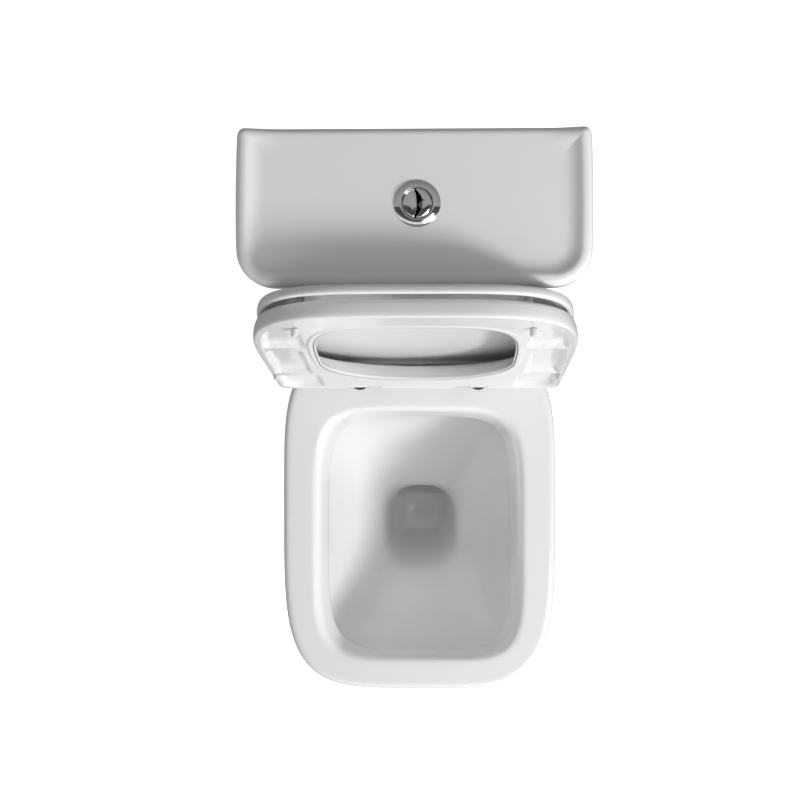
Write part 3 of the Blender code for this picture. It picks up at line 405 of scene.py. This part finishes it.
pan = {
    "middle": 0.418,
    # height, half width, front, back, squareness
    "body": ((0.000, 0.1215, 0.5635, 0.2005, 3.2), (0.003, 0.1238, 0.5658, 0.1982, 3.2),
             (0.012, 0.1238, 0.5658, 0.1982, 3.2), (0.020, 0.1215, 0.5635, 0.1995, 3.2),
             (0.042, 0.112, 0.552, 0.204, 3.0), (0.130, 0.106, 0.545, 0.206, 2.8),
             (0.210, 0.118, 0.572, 0.206, 2.9), (0.280, 0.146, 0.624, 0.208, 3.3),
             (0.330, 0.169, 0.655, 0.211, 4.0), (0.356, 0.1785, 0.666, 0.2125, 4.4),
             (0.378, 0.1801, 0.6678, 0.2128, 4.4), (0.390, 0.1803, 0.668, 0.213, 4.4),
             (0.3955, 0.1792, 0.6669, 0.2141, 4.4), (0.3988, 0.1765, 0.6642, 0.2168, 4.4),
             (0.400, 0.1728, 0.6605, 0.2205, 4.4)),
    # height, half width, back
    "shelf": ((0.000, 0.0900, 0.0720), (0.003, 0.0920, 0.0700), (0.050, 0.087, 0.066),
              (0.300, 0.086, 0.060), (0.345, 0.1075, 0.0355), (0.392, 0.108, 0.035),
              (0.397, 0.1070, 0.0360), (0.400, 0.1030, 0.0400)),
    "skinHeights": (0.000, 0.003, 0.012, 0.020, 0.030, 0.042, 0.070, 0.100, 0.130, 0.170, 0.210, 0.245,
                    0.280, 0.306, 0.330, 0.345, 0.356, 0.368, 0.380, 0.390, 0.3955, 0.3988, 0.400),
    # height, half width, front, back, squareness
    "bowl": ((0.4000, 0.1425, 0.6335, 0.2910, 5.4), (0.3997, 0.1398, 0.6308, 0.2937, 5.4),
             (0.3985, 0.1368, 0.6285, 0.2962, 5.4), (0.3958, 0.1340, 0.6266, 0.2985, 5.4),
             (0.3915, 0.1315, 0.6252, 0.3005, 5.3), (0.384, 0.1290, 0.6242, 0.3025, 5.2),
             (0.372, 0.1258, 0.6232, 0.3050, 5.1), (0.362, 0.1232, 0.6224, 0.3070, 5.0),
             (0.3575, 0.1222, 0.6222, 0.3076, 5.0), (0.3550, 0.1226, 0.6226, 0.3072, 5.0),
             (0.3535, 0.1250, 0.6250, 0.3048, 5.0), (0.3515, 0.1310, 0.6310, 0.2990, 5.0),
             (0.343, 0.1330, 0.6320, 0.2975, 4.9), (0.325, 0.1280, 0.6265, 0.3010, 4.8),
             (0.300, 0.1190, 0.617, 0.311, 4.6), (0.275, 0.1075, 0.603, 0.327, 4.3),
             (0.250, 0.0945, 0.585, 0.347, 4.0), (0.232, 0.0825, 0.566, 0.366, 3.7),
             (0.217, 0.0705, 0.5475, 0.386, 3.5), (0.2075, 0.0620, 0.5375, 0.3980, 3.4),
             (0.201, 0.0570, 0.532, 0.4045, 3.3), (0.195, 0.0535, 0.5285, 0.4085, 3.3),
             (0.185, 0.0500, 0.524, 0.4125, 3.2), (0.165, 0.0465, 0.5165, 0.4160, 3.1),
             (0.140, 0.0425, 0.506, 0.4195, 3.0), (0.118, 0.0375, 0.496, 0.426, 2.9),
             (0.1075, 0.026, 0.486, 0.436, 2.6), (0.105, 0.014, 0.474, 0.448, 2.2)),
    # height, half width, front, back of the hollow behind the foot
    "hollow": ((0.300, 0.040, 0.215, 0.115), (0.300, 0.060, 0.250, 0.090), (0.296, 0.066, 0.258, 0.084),
               (0.200, 0.067, 0.262, 0.083), (0.094, 0.069, 0.264, 0.082),
               (0.088, 0.072, 0.270, 0.082)),
    "hollowPower": 7.0,
    # height and wall of the foot, from the inside down to the floor
    "footWalls": ((0.088, 0.024), (0.085, 0.017), (0.078, 0.0135), (0.040, 0.0125), (0.012, 0.0135),
                  (0.002, 0.0125), (0.0, 0.0105)),
    "rimShares": (0.12, 0.35, 0.65, 0.88),
    "shelfPower": 16, "joinPower": 22,
    # degrees: start, step and count; close together behind, where the cistern's shelf joins
    "columns": ((-90, 3.6, 42), (61.2, 1.309, 22), (90, 0, 1)),
    # half width, front, back, bottom, top, corner
    "backOpening": (0.062, 0.255, -0.01, -0.02, 0.305, 0.012),
    # forward, height, radius, length, tilt
    "trapMouth": (0.395, 0.152, 0.037, 0.110, 82),
    # side, forward, height, radius, length
    "screwSeat": (0.110, 0.392, 0.037, 0.0095, 0.038),
}
panAngles = [math.radians(start + step * number) for start, step, count in pan["columns"]
             for number in range(count)]
panAngles += [math.pi - angle for angle in reversed(panAngles[1:-1])]


def eggRadius(angle, halfWidth, front, back, power):
    side = abs(math.cos(angle) / halfWidth) ** power
    reach = front if math.sin(angle) < 0 else back
    return (side + abs(math.sin(angle) / reach) ** power) ** (-1 / power)


def panRing(height, inset=0.0):
    halfWidth, front, back, power = smoothRow(pan["body"], height)
    shelfWidth, shelfBack = smoothRow(pan["shelf"], height)
    middle, join = pan["middle"], pan["joinPower"]
    ring = []
    for angle in panAngles:
        reach = eggRadius(angle, halfWidth - inset, front - inset - middle, middle - back - inset, power)
        if math.sin(angle) > 0:
            depth = middle - shelfBack - inset
            shelf = eggRadius(angle, shelfWidth - inset, depth, depth, pan["shelfPower"])
            reach = (reach ** join + shelf ** join) ** (1 / join)
        ring.append(Vector((reach * math.cos(angle), stand(middle) + reach * math.sin(angle), height)))
    return ring


def eggRing(height, halfWidth, front, back, power):
    middle = (front + back) / 2
    ring = []
    for angle in panAngles:
        reach = eggRadius(angle, halfWidth, front - middle, middle - back, power)
        ring.append(Vector((reach * math.cos(angle), stand(middle) + reach * math.sin(angle), height)))
    return ring


def makePan():
    rings = [eggRing(*row, pan["hollowPower"]) for row in pan["hollow"]]
    rings += [panRing(height, wall) for height, wall in pan["footWalls"]]
    rings += [panRing(height) for height in pan["skinHeights"]]
    bowl = [eggRing(*row) for row in pan["bowl"]]
    rimEdge = rings[-1]
    for share in pan["rimShares"]:
        rings.append([start.lerp(end, share) for start, end in zip(rimEdge, bowl[0])])
    return drawSkin("panBody", rings + bowl)


def cutPan(body):
    half, front, back, bottom, top, corner = pan["backOpening"]
    cutWith(body, roundBlock("backOpening", (-half, stand(front), bottom), (half, stand(back), top), corner))
    forward, height, radius, length, tilt = pan["trapMouth"]
    place = (0, stand(forward), height)
    cutWith(body, roundTool("trapMouth", place, radius, length, (math.radians(tilt), 0, 0)))
    across, forward, height, radius, length = pan["screwSeat"]
    for side in (-1, 1):
        cutWith(body, roundTool("screwSeat", (side * across, stand(forward), height), radius, length))


panBody = makePan()
cutPan(panBody)
fit(panBody, "toilet", "ceramic", "pan", "pan_shelf")
print("pan:", len(panBody.data.polygons), "faces")

tank = {
    # height, half width, back, front, back corner, front corner
    "rows": ((0.416, 0.120, 0.052, 0.101, 0.008, 0.010), (0.416, 0.152, 0.020, 0.133, 0.016, 0.020),
             (0.4163, 0.1575, 0.0145, 0.1385, 0.018, 0.024),
             (0.4180, 0.1612, 0.0105, 0.1425, 0.020, 0.026),
             (0.4220, 0.1640, 0.0075, 0.1456, 0.020, 0.027),
             (0.4290, 0.1656, 0.0060, 0.1476, 0.020, 0.028),
             (0.500, 0.1695, 0.0056, 0.1505, 0.020, 0.0293),
             (0.620, 0.1757, 0.0048, 0.1555, 0.020, 0.0316),
             (0.740, 0.1824, 0.0041, 0.1600, 0.020, 0.0338),
             (0.7495, 0.1829, 0.0040, 0.1604, 0.020, 0.034),
             (0.7515, 0.1824, 0.0045, 0.1599, 0.020, 0.034),
             (0.7520, 0.1808, 0.0060, 0.1584, 0.019, 0.033),
             (0.7520, 0.1755, 0.0118, 0.1525, 0.014, 0.027),
             (0.7512, 0.1736, 0.0136, 0.1508, 0.012, 0.025),
             (0.7480, 0.1729, 0.0140, 0.1504, 0.012, 0.025),
             (0.6200, 0.1662, 0.0148, 0.1460, 0.012, 0.022),
             (0.4500, 0.1572, 0.0154, 0.1380, 0.012, 0.018),
             (0.4370, 0.1562, 0.0158, 0.1372, 0.012, 0.018),
             (0.4310, 0.1538, 0.0182, 0.1348, 0.012, 0.018),
             (0.4282, 0.1490, 0.0230, 0.1300, 0.010, 0.014),
             (0.4280, 0.1200, 0.0520, 0.1010, 0.008, 0.010)),
}


def boxRing(height, halfWidth, back, front, backCorner, frontCorner, turns=8, across=16, deep=8):
    # a level box with round corners, its points in the same places on every ring
    corners = ((halfWidth, front, frontCorner, 0), (-halfWidth, front, frontCorner, 1),
               (-halfWidth, back, backCorner, 2), (halfWidth, back, backCorner, 3))
    points = []
    for x, forward, radius, turn in corners:
        middleX = x - math.copysign(radius, x)
        middleY = forward - radius if forward == front else forward + radius
        for step in range(turns + 1):
            angle = math.pi / 2 * (turn + step / turns)
            points.append((middleX + radius * math.cos(angle), middleY + radius * math.sin(angle)))
    full = []
    for spot, (x, y) in enumerate(points):
        full.append((x, y))
        if spot % (turns + 1) == turns:
            nextX, nextY = points[(spot + 1) % len(points)]
            count = across if spot // (turns + 1) % 2 == 0 else deep
            for share in [step / count for step in range(1, count)]:
                full.append((x + share * (nextX - x), y + share * (nextY - y)))
    return [Vector((x, stand(forward), height)) for x, forward in full]


cisternTank = drawSkin("cisternTank", [boxRing(*row) for row in tank["rows"]], levels=2)
fit(cisternTank, "toilet", "ceramic", "cistern_tank")
print("tank:", len(cisternTank.data.polygons), "faces")

cover = {
    "halfWidth": 0.1875, "depth": 0.167, "frontCorner": 0.038, "backCorner": 0.010,
    "leastCorners": (0.012, 0.003), "cornerShrink": 0.85, "sideBow": 0.0018, "backRadius": 0.008,
    # how far in from the side or front, and the height there
    "lip": ((0.0000, 0.7800), (0.0006, 0.7829), (0.0022, 0.7864), (0.0045, 0.7888), (0.0072, 0.7898),
            (0.0098, 0.7900), (0.0118, 0.7896), (0.0140, 0.7884), (0.0165, 0.7867), (0.0195, 0.7851),
            (0.0230, 0.7840), (0.0265, 0.7833), (0.0300, 0.7830), (0.2000, 0.7830)),
    "insets": (0.0, 0.0006, 0.0014, 0.0022, 0.0034, 0.0048, 0.0064, 0.0082, 0.0100, 0.0118, 0.0138,
               0.0158, 0.0180, 0.0205, 0.0235, 0.0270, 0.0310, 0.0400, 0.0550),
    # height and inset of the underside, then of the skirt's lower edge
    "underside": ((0.773, 0.060), (0.773, 0.018), (0.7722, 0.0142), (0.7690, 0.0120), (0.7620, 0.0106),
                  (0.7535, 0.0100), (0.7524, 0.0094), (0.7523, 0.0034), (0.7526, 0.0018),
                  (0.7540, 0.0004), (0.7560, 0.0)),
    "skirtShares": (0.35, 0.75, 0.93),
}


def coverHeight(inward, fromBack):
    inset, height = np.array(cover["lip"]).T
    radius = cover["backRadius"]
    drop = 0.0
    if fromBack < radius:
        drop = radius - math.sqrt(radius ** 2 - (radius - max(fromBack, 0.0)) ** 2)
    return float(np.interp(inward, inset, height)) - drop


def coverRing(inset):
    # plan points with their way in from the lipped sides: (x, forward, inward)
    halfWidth = cover["halfWidth"] - inset
    front, back = cover["depth"] - inset, inset
    leastFront, leastBack = cover["leastCorners"]
    frontCorner = max(cover["frontCorner"] - cover["cornerShrink"] * inset, leastFront)
    backCorner = max(cover["backCorner"] - inset, leastBack)
    halfDepth = cover["depth"] / 2
    points = []
    for point in boxRing(0.0, halfWidth, back, front, backCorner, frontCorner):
        forward = stand(point.y)
        bow = cover["sideBow"] * ((forward - halfDepth) / halfDepth) ** 2
        behind = forward < back + backCorner + 1e-6
        x = point.x * (1 - bow / halfWidth)
        points.append((x, forward, cover["halfWidth"] - bow - abs(x) if behind else inset))
    return points


def makeCover():
    def line(inset, heightAt):
        return [Vector((x, stand(forward), heightAt(inward, forward)))
                for x, forward, inward in coverRing(inset)]

    rings = [line(inset, lambda *spot: height) for height, inset in cover["underside"]]
    base = cover["underside"][-1][0]
    for share in cover["skirtShares"]:
        rings.append(line(0.0, lambda *spot: base + share * (coverHeight(*spot) - base)))
    rings += [line(inset, coverHeight) for inset in cover["insets"]]
    return drawSkin("cisternCover", rings)


buttonLow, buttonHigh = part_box("button_bezel")
buttonX = (buttonLow.x + buttonHigh.x) / 2
buttonY = (buttonLow.y + buttonHigh.y) / 2
cisternCover = makeCover()
buttonHole = {"radius": 0.0200, "height": 0.780, "depth": 0.040}
cutWith(cisternCover, roundTool("buttonHole", (buttonX, buttonY, buttonHole["height"]),
                                buttonHole["radius"], buttonHole["depth"]))
fit(cisternCover, "cistern_cover", "ceramic", "cistern_lid")
print("cistern lid:", len(cisternCover.data.polygons), "faces")

button = {
    "radius": 0.0158, "top": 0.7868, "rimSteps": 44, "divideSteps": 24,
    # radius and bulge of the dividing arc, and the middle of the button
    "full": (0.0207, 0.0047, 0.0098), "half": (0.0380, 0.0000, -0.0078),
    # radius and height of the ring around them
    "bezel": ((0.0161, 0.7640), (0.0161, 0.7862), (0.0163, 0.7869), (0.0168, 0.7873), (0.0176, 0.78735),
              (0.0186, 0.7871), (0.0198, 0.7866), (0.0210, 0.7860), (0.0222, 0.7853), (0.0234, 0.7845),
              (0.0243, 0.7838), (0.0248, 0.7834), (0.0242, 0.7832), (0.0200, 0.7832), (0.0195, 0.7828),
              (0.0195, 0.7640), (0.0192, 0.7622), (0.0164, 0.7622)),
    # size and height of each ring of a button, from its underside to the crown
    "dome": ((0.5, -0.0120), (0.97, -0.0120), (1.0, -0.0117), (1.0, -0.0060), (1.0, -0.0022),
             (0.990, -0.00160), (0.965, -0.00120), (0.92, -0.00075), (0.84, -0.00020), (0.72, 0.00030),
             (0.56, 0.00072), (0.36, 0.00104), (0.15, 0.00120)),
}


def circleRing(radius, height, steps=72):
    return [Vector((buttonX + radius * math.cos(2 * math.pi * step / steps),
                    buttonY + radius * math.sin(2 * math.pi * step / steps), height)) for step in range(steps)]

bezel = drawSkin("buttonBezel", [circleRing(*row) for row in button["bezel"]], joinEnds=True, levels=1)
fit(bezel, "cistern_cover", "chrome", "button_bezel")


def splitOutline(kind):
    # a disc divided by an arc that bulges to the right
    full, edge = kind == "full", button["radius"]
    arc, bulge, middle = button[kind]
    centre = bulge - arc
    meetX = (edge ** 2 - arc ** 2 + centre ** 2) / (2 * centre)
    meet = math.atan2(math.sqrt(edge ** 2 - meetX ** 2), meetX)
    swing = math.atan2(edge * math.sin(meet), meetX - centre)
    span = meet if full else math.pi - meet
    base = 0.0 if full else math.pi
    outline = []
    for step in range(button["rimSteps"] + 1):
        angle = base - span + 2 * span * step / button["rimSteps"]
        outline.append((edge * math.cos(angle), edge * math.sin(angle)))
    for step in range(1, button["divideSteps"]):
        angle = swing - 2 * swing * step / button["divideSteps"]
        angle = angle if full else -angle
        outline.append((centre + arc * math.cos(angle), arc * math.sin(angle)))
    return outline


def makeButton(name, kind):
    middle = Vector((button[kind][2], 0.0))
    outline = [Vector(point) for point in splitOutline(kind)]
    rings = []
    for scale, height in button["dome"]:
        ring = [middle + scale * (point - middle) for point in outline]
        rings.append([Vector((buttonX + point.x, buttonY + point.y, button["top"] + height))
                      for point in ring])
    return drawSkin(name, rings)


fit(makeButton("fullFlushButton", "full"), "full_button", "chrome", "full_flush_button")
fit(makeButton("halfFlushButton", "half"), "half_button", "chrome", "half_flush_button")
print("flush buttons done")

seat = {
    "halfWidth": 0.1823, "front": 0.413, "rear": -0.0138, "power": 4.0, "corner": 0.020,
    "bottom": -0.012, "top": 0.0107, "columns": 360, "undersideRings": 56, "topShares": (0.25, 0.5, 0.75),
    "holeMiddle": 0.170, "holeWidth": 0.1135, "holeFront": 0.187, "holeBack": 0.108,
    "holePowers": (4.2, 2.15), "holeMargin": 0.0030,
    # the underside rises and the top swells towards the front
    "thinning": 0.80, "swelling": 0.14, "swellReach": (0.20, 0.38),
    # height, inset, rear edge
    "side": ((-0.0120, 0.0030, 0.0008), (-0.01165, 0.0016, -0.0035), (-0.0104, 0.0007, -0.0072),
             (-0.0082, 0.0002, -0.0105), (-0.0050, 0.0, -0.0130), (-0.0010, 0.0, -0.0138),
             (0.0030, 0.0006, -0.0135), (0.0060, 0.0012, -0.0127), (0.0084, 0.0022, -0.0117),
             (0.0099, 0.0038, -0.0100), (0.0105, 0.0058, -0.0080), (0.0107, 0.0090, -0.0050)),
    # height, growth of the opening
    "hole": ((0.0107, 0.0245), (0.0104, 0.0222), (0.0096, 0.0200), (0.0084, 0.0176), (0.0066, 0.0150),
             (0.0042, 0.0122), (0.0015, 0.0096), (-0.0020, 0.0066), (-0.0055, 0.0036),
             (-0.0078, 0.0014), (-0.0092, 0.0004), (-0.0104, 0.0002), (-0.0113, 0.0009),
             (-0.01180, 0.0020)),
    # inner side, outer side, rear and fore end of each recess in the underside
    "pockets": ((0.1200, 0.1765, -0.0300, 0.0925), (0.1275, 0.1775, 0.1005, 0.2440),
                (0.1215, 0.1735, 0.2520, 0.3480)),
    "pocketDepth": 0.0085, "softWall": 0.0110, "steepWall": 0.0032,
    "lipWidth": 0.0060, "lipDepth": 0.0013,
    # hinge notches: inner side, outer side, rear, fore, half height, corner
    "notch": (0.0477, 0.0893, -0.0135, 0.040, 0.030, 0.002),
    # where a column leaves the outline and where it meets the opening
    "pairs": (((0.0, 0.413), (0.0, 0.357)), ((0.105, 0.404), (0.070, 0.351)),
              ((0.152, 0.371), (0.097, 0.330)), ((0.173, 0.310), (0.107, 0.295)),
              ((0.1818, 0.220), (0.1125, 0.222)), ((0.1823, 0.150), (0.113, 0.155)),
              ((0.1823, 0.060), (0.099, 0.115)), ((0.176, 0.000), (0.082, 0.095)),
              ((0.100, -0.0138), (0.045, 0.071)), ((0.0, -0.0138), (0.0, 0.062))),
}


def lidHalf(width, front, rear, corner, power=4.4, middle=0.160, frontSteps=120, cornerSteps=24):
    # one side of the plan, from the middle of the front to the middle of the back
    points = []
    for step in range(frontSteps):
        x, y = superPoint(math.pi / 2 * (1 - step / frontSteps), width, front - middle, power)
        points.append((x, middle + y))
    for step in range(cornerSteps + 1):
        angle = math.pi / 2 * step / cornerSteps
        points.append((width - corner + corner * math.cos(angle), rear + corner - corner * math.sin(angle)))
    points.append((0.0, rear))
    return points


def holeHalf(grow, steps=240):
    frontPower, backPower = seat["holePowers"]
    points = []
    for step in range(steps + 1):
        angle = math.pi / 2 - math.pi * step / steps
        reach, power = (seat["holeFront"], frontPower) if angle > 0 else (seat["holeBack"], backPower)
        x, y = superPoint(angle, seat["holeWidth"] + grow, reach + grow, power)
        points.append((x, seat["holeMiddle"] + y))
    return points


def shareAt(points, spot):
    line = np.array(points, float)
    run = np.concatenate([[0], np.cumsum(np.hypot(*(line[1:] - line[:-1]).T))])
    return run[np.argmin(np.hypot(line[:, 0] - spot[0], line[:, 1] - spot[1]))] / run[-1]


def seatShares(count):
    outline = lidHalf(seat["halfWidth"], seat["front"], seat["rear"], seat["corner"], seat["power"])
    hole = holeHalf(0.0)
    outer = np.linspace(0, 1, count + 1)
    knownOuter = [shareAt(outline, spot) for spot, meeting in seat["pairs"]]
    knownInner = [shareAt(hole, meeting) for spot, meeting in seat["pairs"]]
    return outer, np.interp(outer, knownOuter, knownInner)


def mirrored(half):
    # the other side follows with x turned round
    return [tuple(point) for point in half] + [(-x, forward) for x, forward in half[-2:0:-1]]


def seatRelief(x, forward, toEdge, toHole):
    lip, soft = seat["lipWidth"], seat["softWall"]
    depth = seat["lipDepth"] * ease(toEdge, lip - 0.0015, lip + 0.0010)
    depth *= ease(toHole, lip - 0.0010, lip + 0.0015)
    for inner, outer, rear, fore in seat["pockets"]:
        sides = ease(abs(x), inner, inner + soft) * ease(min(outer - abs(x), toEdge - 0.0045), 0, 0.8 * soft)
        ends = ease(forward, rear, rear + seat["steepWall"]) * ease(fore - forward, 0, 1.9 * soft)
        depth = max(depth, seat["pocketDepth"] * sides * ends)
    return depth


def makeSeat():
    outerShares, innerShares = seatShares(seat["columns"])

    def outerLine(inset, rear):
        half = lidHalf(seat["halfWidth"] - inset, seat["front"] - inset, rear, seat["corner"], seat["power"])
        return mirrored(spaced(half, outerShares))

    def innerLine(grow):
        return mirrored(spaced(holeHalf(grow), innerShares))

    rings = []
    startHeight, startInset, startRear = seat["side"][0]
    outline, hole = outerLine(startInset, startRear), innerLine(seat["holeMargin"])
    for step in range(seat["undersideRings"]):
        share = 1 - step / seat["undersideRings"]
        ring = []
        for (outX, outY), (inX, inY) in zip(outline, hole):
            x, forward = outX + share * (inX - outX), outY + share * (inY - outY)
            length = math.hypot(inX - outX, inY - outY)
            depth = seatRelief(x, forward, share * length, (1 - share) * length)
            ring.append(Vector((x, -forward, seat["bottom"] + depth)))
        rings.append(ring)
    for height, inset, rear in seat["side"]:
        rings.append([Vector((x, -forward, height)) for x, forward in outerLine(inset, rear)])
    endHeight, endInset, endRear = seat["side"][-1]
    outline, hole = outerLine(endInset, endRear), innerLine(seat["hole"][0][1])
    for share in seat["topShares"]:
        rings.append([Vector((outX + share * (inX - outX), -outY - share * (inY - outY), seat["top"]))
                      for (outX, outY), (inX, inY) in zip(outline, hole)])
    for height, grow in seat["hole"]:
        rings.append([Vector((x, -forward, height)) for x, forward in innerLine(grow)])
    for point in [point for ring in rings for point in ring]:
        if point.z < 0:
            point.z *= 1 - seat["thinning"] * max(0.0, -point.y)
        else:
            point.z *= 1 + seat["swelling"] * ease(-point.y, *seat["swellReach"])
    piece = drawSkin("seatRing", rings, joinEnds=True, levels=0)
    inner, outer, rear, fore, half, corner = seat["notch"]
    for side in (-1, 1):
        low, high = sorted((side * inner, side * outer))
        cutWith(piece, roundBlock("notch", (low, rear, -half), (high, fore, half), corner))
    raiseUp(piece)
    return piece


seatRing = makeSeat()
fit(seatRing, "seat", "seat_plastic", "seat_ring")
print("seat:", len(seatRing.data.polygons), "faces")

lid = {
    "halfWidth": 0.1765, "front": 0.423, "columns": 110, "corner": 0.020,
    "crownStart": 0.300, "crownReach": 0.120, "crownFall": 0.0024,
    # height, inset, rear edge
    "panel": ((0.0215, 0.1000, 0.1100), (0.0215, 0.0500, 0.0600), (0.0215, 0.0200, 0.0300),
              (0.0214, 0.0125, 0.0240), (0.0210, 0.0096, 0.0225), (0.0200, 0.0080, 0.0221),
              (0.0180, 0.0071, 0.0220), (0.0160, 0.0066, 0.0218), (0.0151, 0.0058, 0.0210),
              (0.0147, 0.0044, 0.0190)),
    "edge": ((0.0147, 0.0026, -0.0030), (0.0150, 0.0012, -0.0050), (0.0160, 0.0003, -0.0060),
             (0.0180, 0.0, -0.0065)),
    "top": ((0.0205, 0.0001, -0.0064), (0.0228, 0.0004, -0.0062), (0.0250, 0.0010, -0.0055),
            (0.0266, 0.0022, -0.0042), (0.0276, 0.0042, -0.0022), (0.0280, 0.0075, 0.0010),
            (0.0280, 0.0130, 0.0060), (0.0280, 0.0300, 0.0250), (0.0280, 0.0600, 0.0600),
            (0.0280, 0.1000, 0.1000)),
    # the slot between the hinges: half width, rear, fore, bottom, top, corner
    "slot": (0.108, -0.0212, -0.0050, 0.0100, 0.0256, 0.0012),
    # hinge lugs: inner side, outer side, radius, top, rounding
    "lug": (0.0485, 0.0665, 0.0090, 0.0268, 0.0007),
    "insideCorner": 0.012,
}


def makeLug(side):
    # a cylinder round the pin, its upper half drawn up into the lid
    inner, outer, radius, top, rounding = lid["lug"]
    startPiece()
    bpy.ops.mesh.primitive_cylinder_add(vertices=48, radius=radius, depth=outer - inner,
                                        location=(side * (inner + outer) / 2, 0, 0),
                                        rotation=(0, math.pi / 2, 0))
    lug = bpy.context.object
    bpy.ops.object.transform_apply(location=True, rotation=True, scale=True)
    bpy.ops.object.mode_set(mode="EDIT")
    work = bmesh.from_edit_mesh(lug.data)
    for vert in work.verts:
        if vert.co.z > 0.0001:
            vert.co.z = top
            if abs(vert.co.y) > 0.002:
                vert.co.y = math.copysign(radius, vert.co.y)
    bmesh.update_edit_mesh(lug.data)
    bpy.ops.object.mode_set(mode="OBJECT")
    edge = lug.modifiers.new("edge", "BEVEL")
    edge.width, edge.segments, edge.limit_method = rounding, 2, "ANGLE"
    applyAll(lug)
    return lug


def makeLid():
    shares = np.linspace(0, 1, lid["columns"] + 1)
    rings = []
    for group in ("panel", "edge", "top"):
        for height, inset, rear in lid[group]:
            corner = lid["corner"] if inset < 0.02 else lid["insideCorner"]
            half = lidHalf(lid["halfWidth"] - inset, lid["front"] - inset, rear, corner)
            ring = []
            for x, forward in mirrored(spaced(half, shares)):
                fall = lid["crownFall"] * (max(0.0, forward - lid["crownStart"]) / lid["crownReach"]) ** 2
                ring.append(Vector((x, -forward, height - (fall if group == "top" else 0.0))))
            rings.append(ring)
    piece = drawSkin("toiletLid", rings)
    half, rear, fore, bottom, top, corner = lid["slot"]
    cutWith(piece, roundBlock("slot", (-half, rear, bottom), (half, fore, top), corner))
    lugs = [makeLug(side) for side in (-1, 1)]
    pick(piece, *lugs)
    bpy.ops.object.join()
    raiseUp(piece)
    return piece


toiletLid = makeLid()
fit(toiletLid, "lid", "seat_plastic", "toilet_lid")
smoothBelow = math.radians(38)
for piece in (seatRing, toiletLid, cisternCover, panBody, cisternTank):
    pick(piece)
    bpy.ops.object.shade_smooth_by_angle(angle=smoothBelow)
print("seat and lid done")

studio = {
    "keyAzimuth": math.radians(52), "keyHeight": math.radians(29), "keyDistance": 2.6,
    "keyTarget": (0, 0.1, 0.6), "keySize": 0.62, "keyPower": 45,
    "softPlace": (1.15, -1.05, 2.25), "softTarget": (0, -0.05, 0.4), "softSize": 1.5, "softPower": 11,
    "floorSize": 24, "floorDrop": 0.0005, "floorGlow": 0.80, "backdropRadius": 11.5,
    "cameraPlace": (0.026, 0.0487, 2.234), "cameraTilt": math.radians(1.6), "lens": 62.5, "sensor": 36,
    # the room's brightness from behind underfoot, round by the front and overhead, to the back
    "bands": ((0.00, 0.25), (0.22, 0.30), (0.26, 0.85), (0.365, 0.95), (0.39, 0.10), (0.495, 0.06),
              (0.505, 0.40), (0.62, 0.34), (0.74, 0.20), (1.00, 0.25)),
}


def stageLook(name, colour, glow):
    look = Finish(name, {"Roughness": 0.9, "Specular IOR Level": 0.0, "Emission Strength": 1.0})
    mottle = look.noise(2.0, 2.0)
    look.feed(Base_Color=look.blend(mottle, grey(colour - 0.01), grey(colour)),
              Emission_Color=look.blend(mottle, grey(glow), grey(glow + 0.01)))
    return look.material


startPiece()
bpy.ops.mesh.primitive_plane_add(size=studio["floorSize"], location=(0, 0, -studio["floorDrop"]))
floor = bpy.context.object
floor.name = "floor"
floor.data.materials.append(stageLook("paleFloor", 0.90, studio["floorGlow"]))
startPiece()
bpy.ops.mesh.primitive_uv_sphere_add(segments=48, ring_count=24, radius=studio["backdropRadius"])
backdrop = bpy.context.object
backdrop.name = "paleBackdrop"
backdrop.data.materials.append(stageLook("paleBackdrop", 0.02, 1.0))
for piece in (floor, backdrop):
    piece.visible_diffuse = piece.visible_glossy = False
    piece.visible_transmission = piece.visible_shadow = False


def areaLight(name, place, target, size, power):
    startPiece()
    bpy.ops.object.light_add(type="AREA", location=place)
    lamp = bpy.context.object
    lamp.name = name
    lamp.data.shape, lamp.data.size, lamp.data.energy = "DISK", size, power
    lamp.rotation_euler = (Vector(target) - Vector(place)).to_track_quat("-Z", "Y").to_euler()


flat = math.cos(studio["keyHeight"]) * studio["keyDistance"]
keyOffset = Vector((flat * math.sin(studio["keyAzimuth"]), -flat * math.cos(studio["keyAzimuth"]),
                    studio["keyDistance"] * math.sin(studio["keyHeight"])))
areaLight("keyLight", Vector(studio["keyTarget"]) + keyOffset, studio["keyTarget"],
          studio["keySize"], studio["keyPower"])
areaLight("softLight", studio["softPlace"], studio["softTarget"], studio["softSize"], studio["softPower"])

world = bpy.data.worlds.new("studio")
bpy.context.scene.world = world
world.use_nodes = True
sky = Nodes(world.node_tree)
way = sky.node("ShaderNodeTexCoord", {}, {}, "Generated")
depth = sky.node("ShaderNodeSeparateXYZ", {}, {0: way}, "Y")
height = sky.node("ShaderNodeSeparateXYZ", {}, {0: way}, "Z")
turn = sky.node("ShaderNodeMath", {"operation": "ARCTAN2"}, {0: depth, 1: height})
bands = [(position, grey(value)) for position, value in studio["bands"]]
glow = sky.node("ShaderNodeValToRGB", {"stops": bands}, {0: turn * (1 / (2 * math.pi)) + 0.5})
world.node_tree.links.new(glow.socket, world.node_tree.nodes["Background"].inputs[0])

bpy.ops.object.camera_add(location=studio["cameraPlace"], rotation=(0, studio["cameraTilt"], 0))
camera = bpy.context.object
camera.data.lens, camera.data.sensor_width = studio["lens"], studio["sensor"]
bpy.context.scene.camera = camera
bpy.context.scene.view_settings.view_transform = "Standard"
print("studio done")
